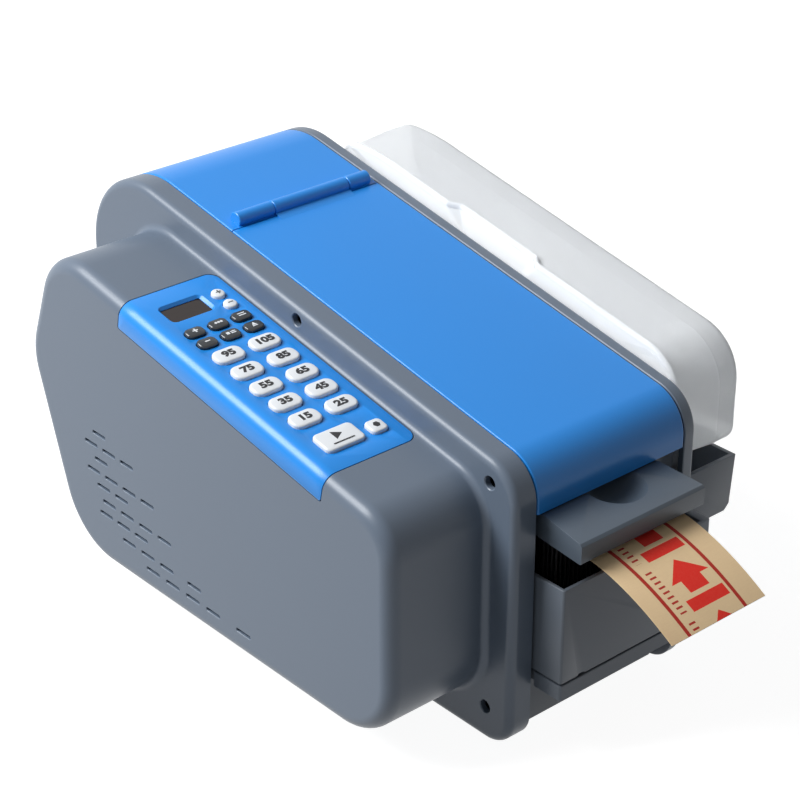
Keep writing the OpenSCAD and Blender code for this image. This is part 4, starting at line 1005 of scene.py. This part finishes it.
seam_steps = [(-0.9, 0.0), (-0.35, 0.03), (0.0, 0.16), (0.35, 0.03), (0.9, 0.0)]
bottle_rings = [bottle_ring(bottle_x0, 13.0), scooped_ring(bottle_x0, bottle_inner + 0.6)]
bottle_rings += round_over(scooped_ring, bottle_x0, bottle_inner, 8)
bottle_rings += [seam_ring(seam_x + dx, lift) for dx, lift in seam_steps]
bottle_rings += round_over(bottle_ring, bottle_x1, bottle_edge, 12, -1)
bottle_rings += [bottle_ring(bottle_x1, bottle_edge + 0.6)]
bottle = skin("bottle", bottle_rings, bottle_finish, 40.0)
# the raised part of its floor that drops into the tray
stand_z0 = 104.8
stand = brick("stand", [bottle_x0 + 9, 60, stand_z0], [bottle_x1 - 9, 296, bottle_z0 + 0.6], bottle_finish)
bottle = joined("milky_bottle", [bottle, stand])
smooth(bottle, 40.0)
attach(bottle, "bottle")
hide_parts("water_bottle")
valve_finish = moulded("grey_cap", (0.5, 0.52, 0.55), 0.45)
dress(valve_finish, "valve_grey", "bottle_valve")


# ---- Open mouldings with crisp edges -------------------------------------------------------
# Tray, water tank, drip ledge, pressing plate and base are straight-sided mouldings. Each is the
# model's own shape with its edges broken, so that they catch the light.
def broken_edges(node, name, finish, body, width, segments=2):
    """A copy of a node with its loose triangles merged and every edge over 30 degrees bevelled."""
    mesh = nodes[node].data.copy()
    work = bmesh.new()
    work.from_mesh(mesh)
    bmesh.ops.remove_doubles(work, verts=work.verts, dist=2e-6)
    bmesh.ops.dissolve_limit(work, angle_limit=math.radians(1.0), verts=work.verts, edges=work.edges)
    work.to_mesh(mesh)
    work.free()
    made = placed(name, mesh)
    paint(mesh, finish)
    round_off = made.modifiers.new("edge", "BEVEL")
    round_off.width = width * MM
    round_off.segments = segments
    round_off.limit_method = "ANGLE"
    round_off.angle_limit = math.radians(30)
    settle(made)
    smooth(made, 34.0)
    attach(made, body)
    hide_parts(node)
    return made


tank_finish = moulded("dark_grey_moulding", (0.145, 0.168, 0.2), 0.38, Specular_IOR_Level=0.35)
plate_finish = moulded("plate_moulding", (0.078, 0.1, 0.127), 0.36, Specular_IOR_Level=0.38)
base_finish = moulded("base_moulding", (0.13, 0.15, 0.175), 0.45)
broken_edges("bottle_tray", "open_tray", tank_finish, "body", 0.5)
broken_edges("water_tank", "brush_tank", tank_finish, "tank", 0.5)
ledge = broken_edges("drip_ledge", "front_ledge", tank_finish, "body", 0.4)
# the ledge has the outline of the tank above it, with a narrow gap between the two
lip_x0 = -58.8
lip_x1 = 62.2
lip_front = -22.0
lip_back = -0.6
lip_corner = 1.2
lip_low = 43.0
lip_top = 53.3
lip_chamfer = 0.4
lip = np.array([[lip_x0, lip_back], [lip_x0, lip_front + lip_corner], [lip_x0 + lip_corner, lip_front],
                [lip_x1 - lip_corner, lip_front], [lip_x1, lip_front + lip_corner], [lip_x1, lip_back]])
lip_levels = [(lip_low, lip_chamfer), (lip_low + lip_chamfer, 0.0),
              (lip_top - lip_chamfer, 0.0), (lip_top, lip_chamfer)]
lip_rings = []
for z, inset in lip_levels:
    ring = rounded(lip, [0.5] * 6, inset, 3)
    lip_rings.append(np.column_stack([ring, np.full(len(ring), z)]))
lip_piece = skin("lip", lip_rings, tank_finish)
joined("front_ledge", [ledge, lip_piece])
smooth(ledge, 34.0)
broken_edges("pressing_plate", "warm_plate", plate_finish, "body", 0.8, 3)
broken_edges("base", "base_tray", base_finish, "body", 0.4)


# ---- Brushes -------------------------------------------------------------------------------
# Black nylon bristle set in a plastic back; the model's strands are kept and get a soft sheen.
bristle_finish = Finish("black_bristle", (0.008, 0.008, 0.009), 0.45)
bristle_finish.vary(bristle_finish.noise(2400.0, 2.0, (1.0, 1.0, 0.02)), 0.5, 0.55, 0.35)
dress(bristle_finish, "bristle_black", "front_brush", "rear_brush")


# ---- Tape ----------------------------------------------------------------------------------
# Brown kraft paper, 76 mm wide. The cut strip lies over the brushes and curls down outside, with
# a red print; the web and the roll inside are the same paper, though the strip's colour is painted
# lighter than theirs, as painted light for the brighter light that falls on it.
tape_w = 76.0
tape_x = -9.4
tape_z = 138.0


def kraft(name, colour):
    """Kraft paper: long fibres across it, small specks and slow cloudiness."""
    made = Finish(name, colour, 0.62, Specular_IOR_Level=0.25)
    fibre = made.noise(1500.0, 4.0, (0.12, 1.0, 1.0), 0.7)
    speck = made.noise(900.0, 2.0)
    cloud = made.noise(40.0, 4.0)
    made.tone = fibre * 0.45 + speck * 0.2 + cloud * 0.35
    made.set(Base_Color=made.shade(made.tone, 0.16), Roughness=fibre * 0.14 + 0.52)
    made.bump(fibre, 0.02)
    return made


paper_finish = kraft("kraft_paper", (0.8, 0.56, 0.33))
dress(paper_finish, "kraft_paper", "tape_roll", "tape_web")
core_finish = kraft("core_board", (0.36, 0.25, 0.15))
dress(core_finish, "core_card", "tape_core")
strip_rear_y = 52.6
curl_start_y = -18.0
strip_front_y = -92.9
curl_drop = 26.0
curl_run = curl_start_y - strip_front_y
sheet_t = 0.3


def strip_height(y):
    """Height of the strip's underside: flat, then falling as the 1.8th power past the curl's start."""
    d = np.clip(curl_start_y - y, 0, None) / curl_run
    return tape_z + 0.04 - curl_drop * d ** 1.8


along, across = np.meshgrid(np.linspace(strip_rear_y, strip_front_y + 0.15, 120),
                            np.linspace(-0.5, 0.5, 40), indexing="ij")
lower = np.stack([tape_x + across * tape_w, along, strip_height(along)], -1).reshape(-1, 3)
upper = lower + [0, 0, sheet_t]
rows, columns = along.shape
under = lattice_faces(rows, columns, False)
total = rows * columns
# the sheet's rim, once round: first row, right edge, last row and left edge of the lattice
rim = np.concatenate([np.arange(columns), np.arange(1, rows) * columns + columns - 1,
                      (rows - 1) * columns + np.arange(columns - 2, -1, -1),
                      np.arange(rows - 2, 0, -1) * columns])
rim_next = np.roll(rim, -1)
side_faces = np.stack([rim, rim_next, rim_next + total, rim + total], -1)
strip_faces = np.vstack([under, under[:, ::-1] + total, side_faces])
strip = new_piece("cut_strip", np.vstack([lower, upper]), strip_faces, None, 50.0)

# the print's own map: u is the length along the sheet, v the distance from its middle, in metres
edge_y = along[:, 0]
steps = np.hypot(np.diff(edge_y), np.diff(strip_height(edge_y)))
length_along = np.concatenate([[0], np.cumsum(steps)])
uv = strip.data.uv_layers.new(name="UVMap")
loops = np.empty(len(strip.data.loops), int)
strip.data.loops.foreach_get("vertex_index", loops)
local = (np.array([v.co for v in strip.data.vertices]) - origin) / MM
u = np.interp(-local[:, 1], -edge_y, length_along)
v = local[:, 0] - tape_x
uv.data.foreach_set("uv", np.column_stack([u, v])[loops].ravel() * MM)

# painted light: the strip's kraft colour is lighter than the same paper's in the roll and the web
tape_finish = kraft("printed_kraft_painted_light", (0.97, 0.66, 0.385))
uv_node = tape_finish.node("ShaderNodeUVMap", {"uv_map": "UVMap"})
split = tape_finish.tree.nodes.new("ShaderNodeSeparateXYZ")
tape_finish.tree.links.new(uv_node.socket, split.inputs[0])
run_mm = Wire(tape_finish.tree, split.outputs[0]) * (1 / MM)
side_mm = Wire(tape_finish.tree, split.outputs[1]) * (1 / MM)


def inside(value, low, high):
    """1 where a value lies between two limits."""
    return (value > low) * (value < high)


# print: a dark red line near both edges, bold red arrows and bars, and a row of short dark ticks
border = inside(abs(side_mm + 1.0), 21.5, 24.0)
repeat = (run_mm + 9.0).calc("MODULO", 38.0)
height = side_mm - 4.0
arrow_head = inside(repeat, 2.0, 16.0) * (abs(height) < (repeat - 2.0) * 1.05)
arrow_stem = inside(repeat, 15.9, 24.5) * (abs(height) < 7.6)
block_mark = inside(repeat, 27.5, 35.0) * (abs(height) < 14.7)
tick_row = inside(side_mm, -19.4, -14.6) * (run_mm.calc("MODULO", 3.7) < 1.3) * (repeat < 33.0)
worn = 0.94 + 0.06 * tape_finish.noise(700.0, 3.0)
bold = (arrow_head + arrow_stem + block_mark).calc("MINIMUM", 1.0) * worn
fine = (border + tick_row).calc("MINIMUM", 1.0) * worn
plain = tape_finish.shade(tape_finish.tone, 0.16)
reddened = tape_finish.mix(bold, plain, (0.84, 0.02, 0.014))
tape_finish.set(Base_Color=tape_finish.mix(fine, reddened, (0.46, 0.012, 0.01)))
strip.data.materials.append(tape_finish.material)
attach(strip, "strip")
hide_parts("tape_strip")


# ---- Mains inlet ---------------------------------------------------------------------------
# A black moulded frame on the rear panel that holds the mains socket and the rocker.
inlet_finish = moulded("black_moulding", (0.022, 0.022, 0.024), 0.4)
dress(inlet_finish, "inlet_black", "power_inlet", "rocker_switch")
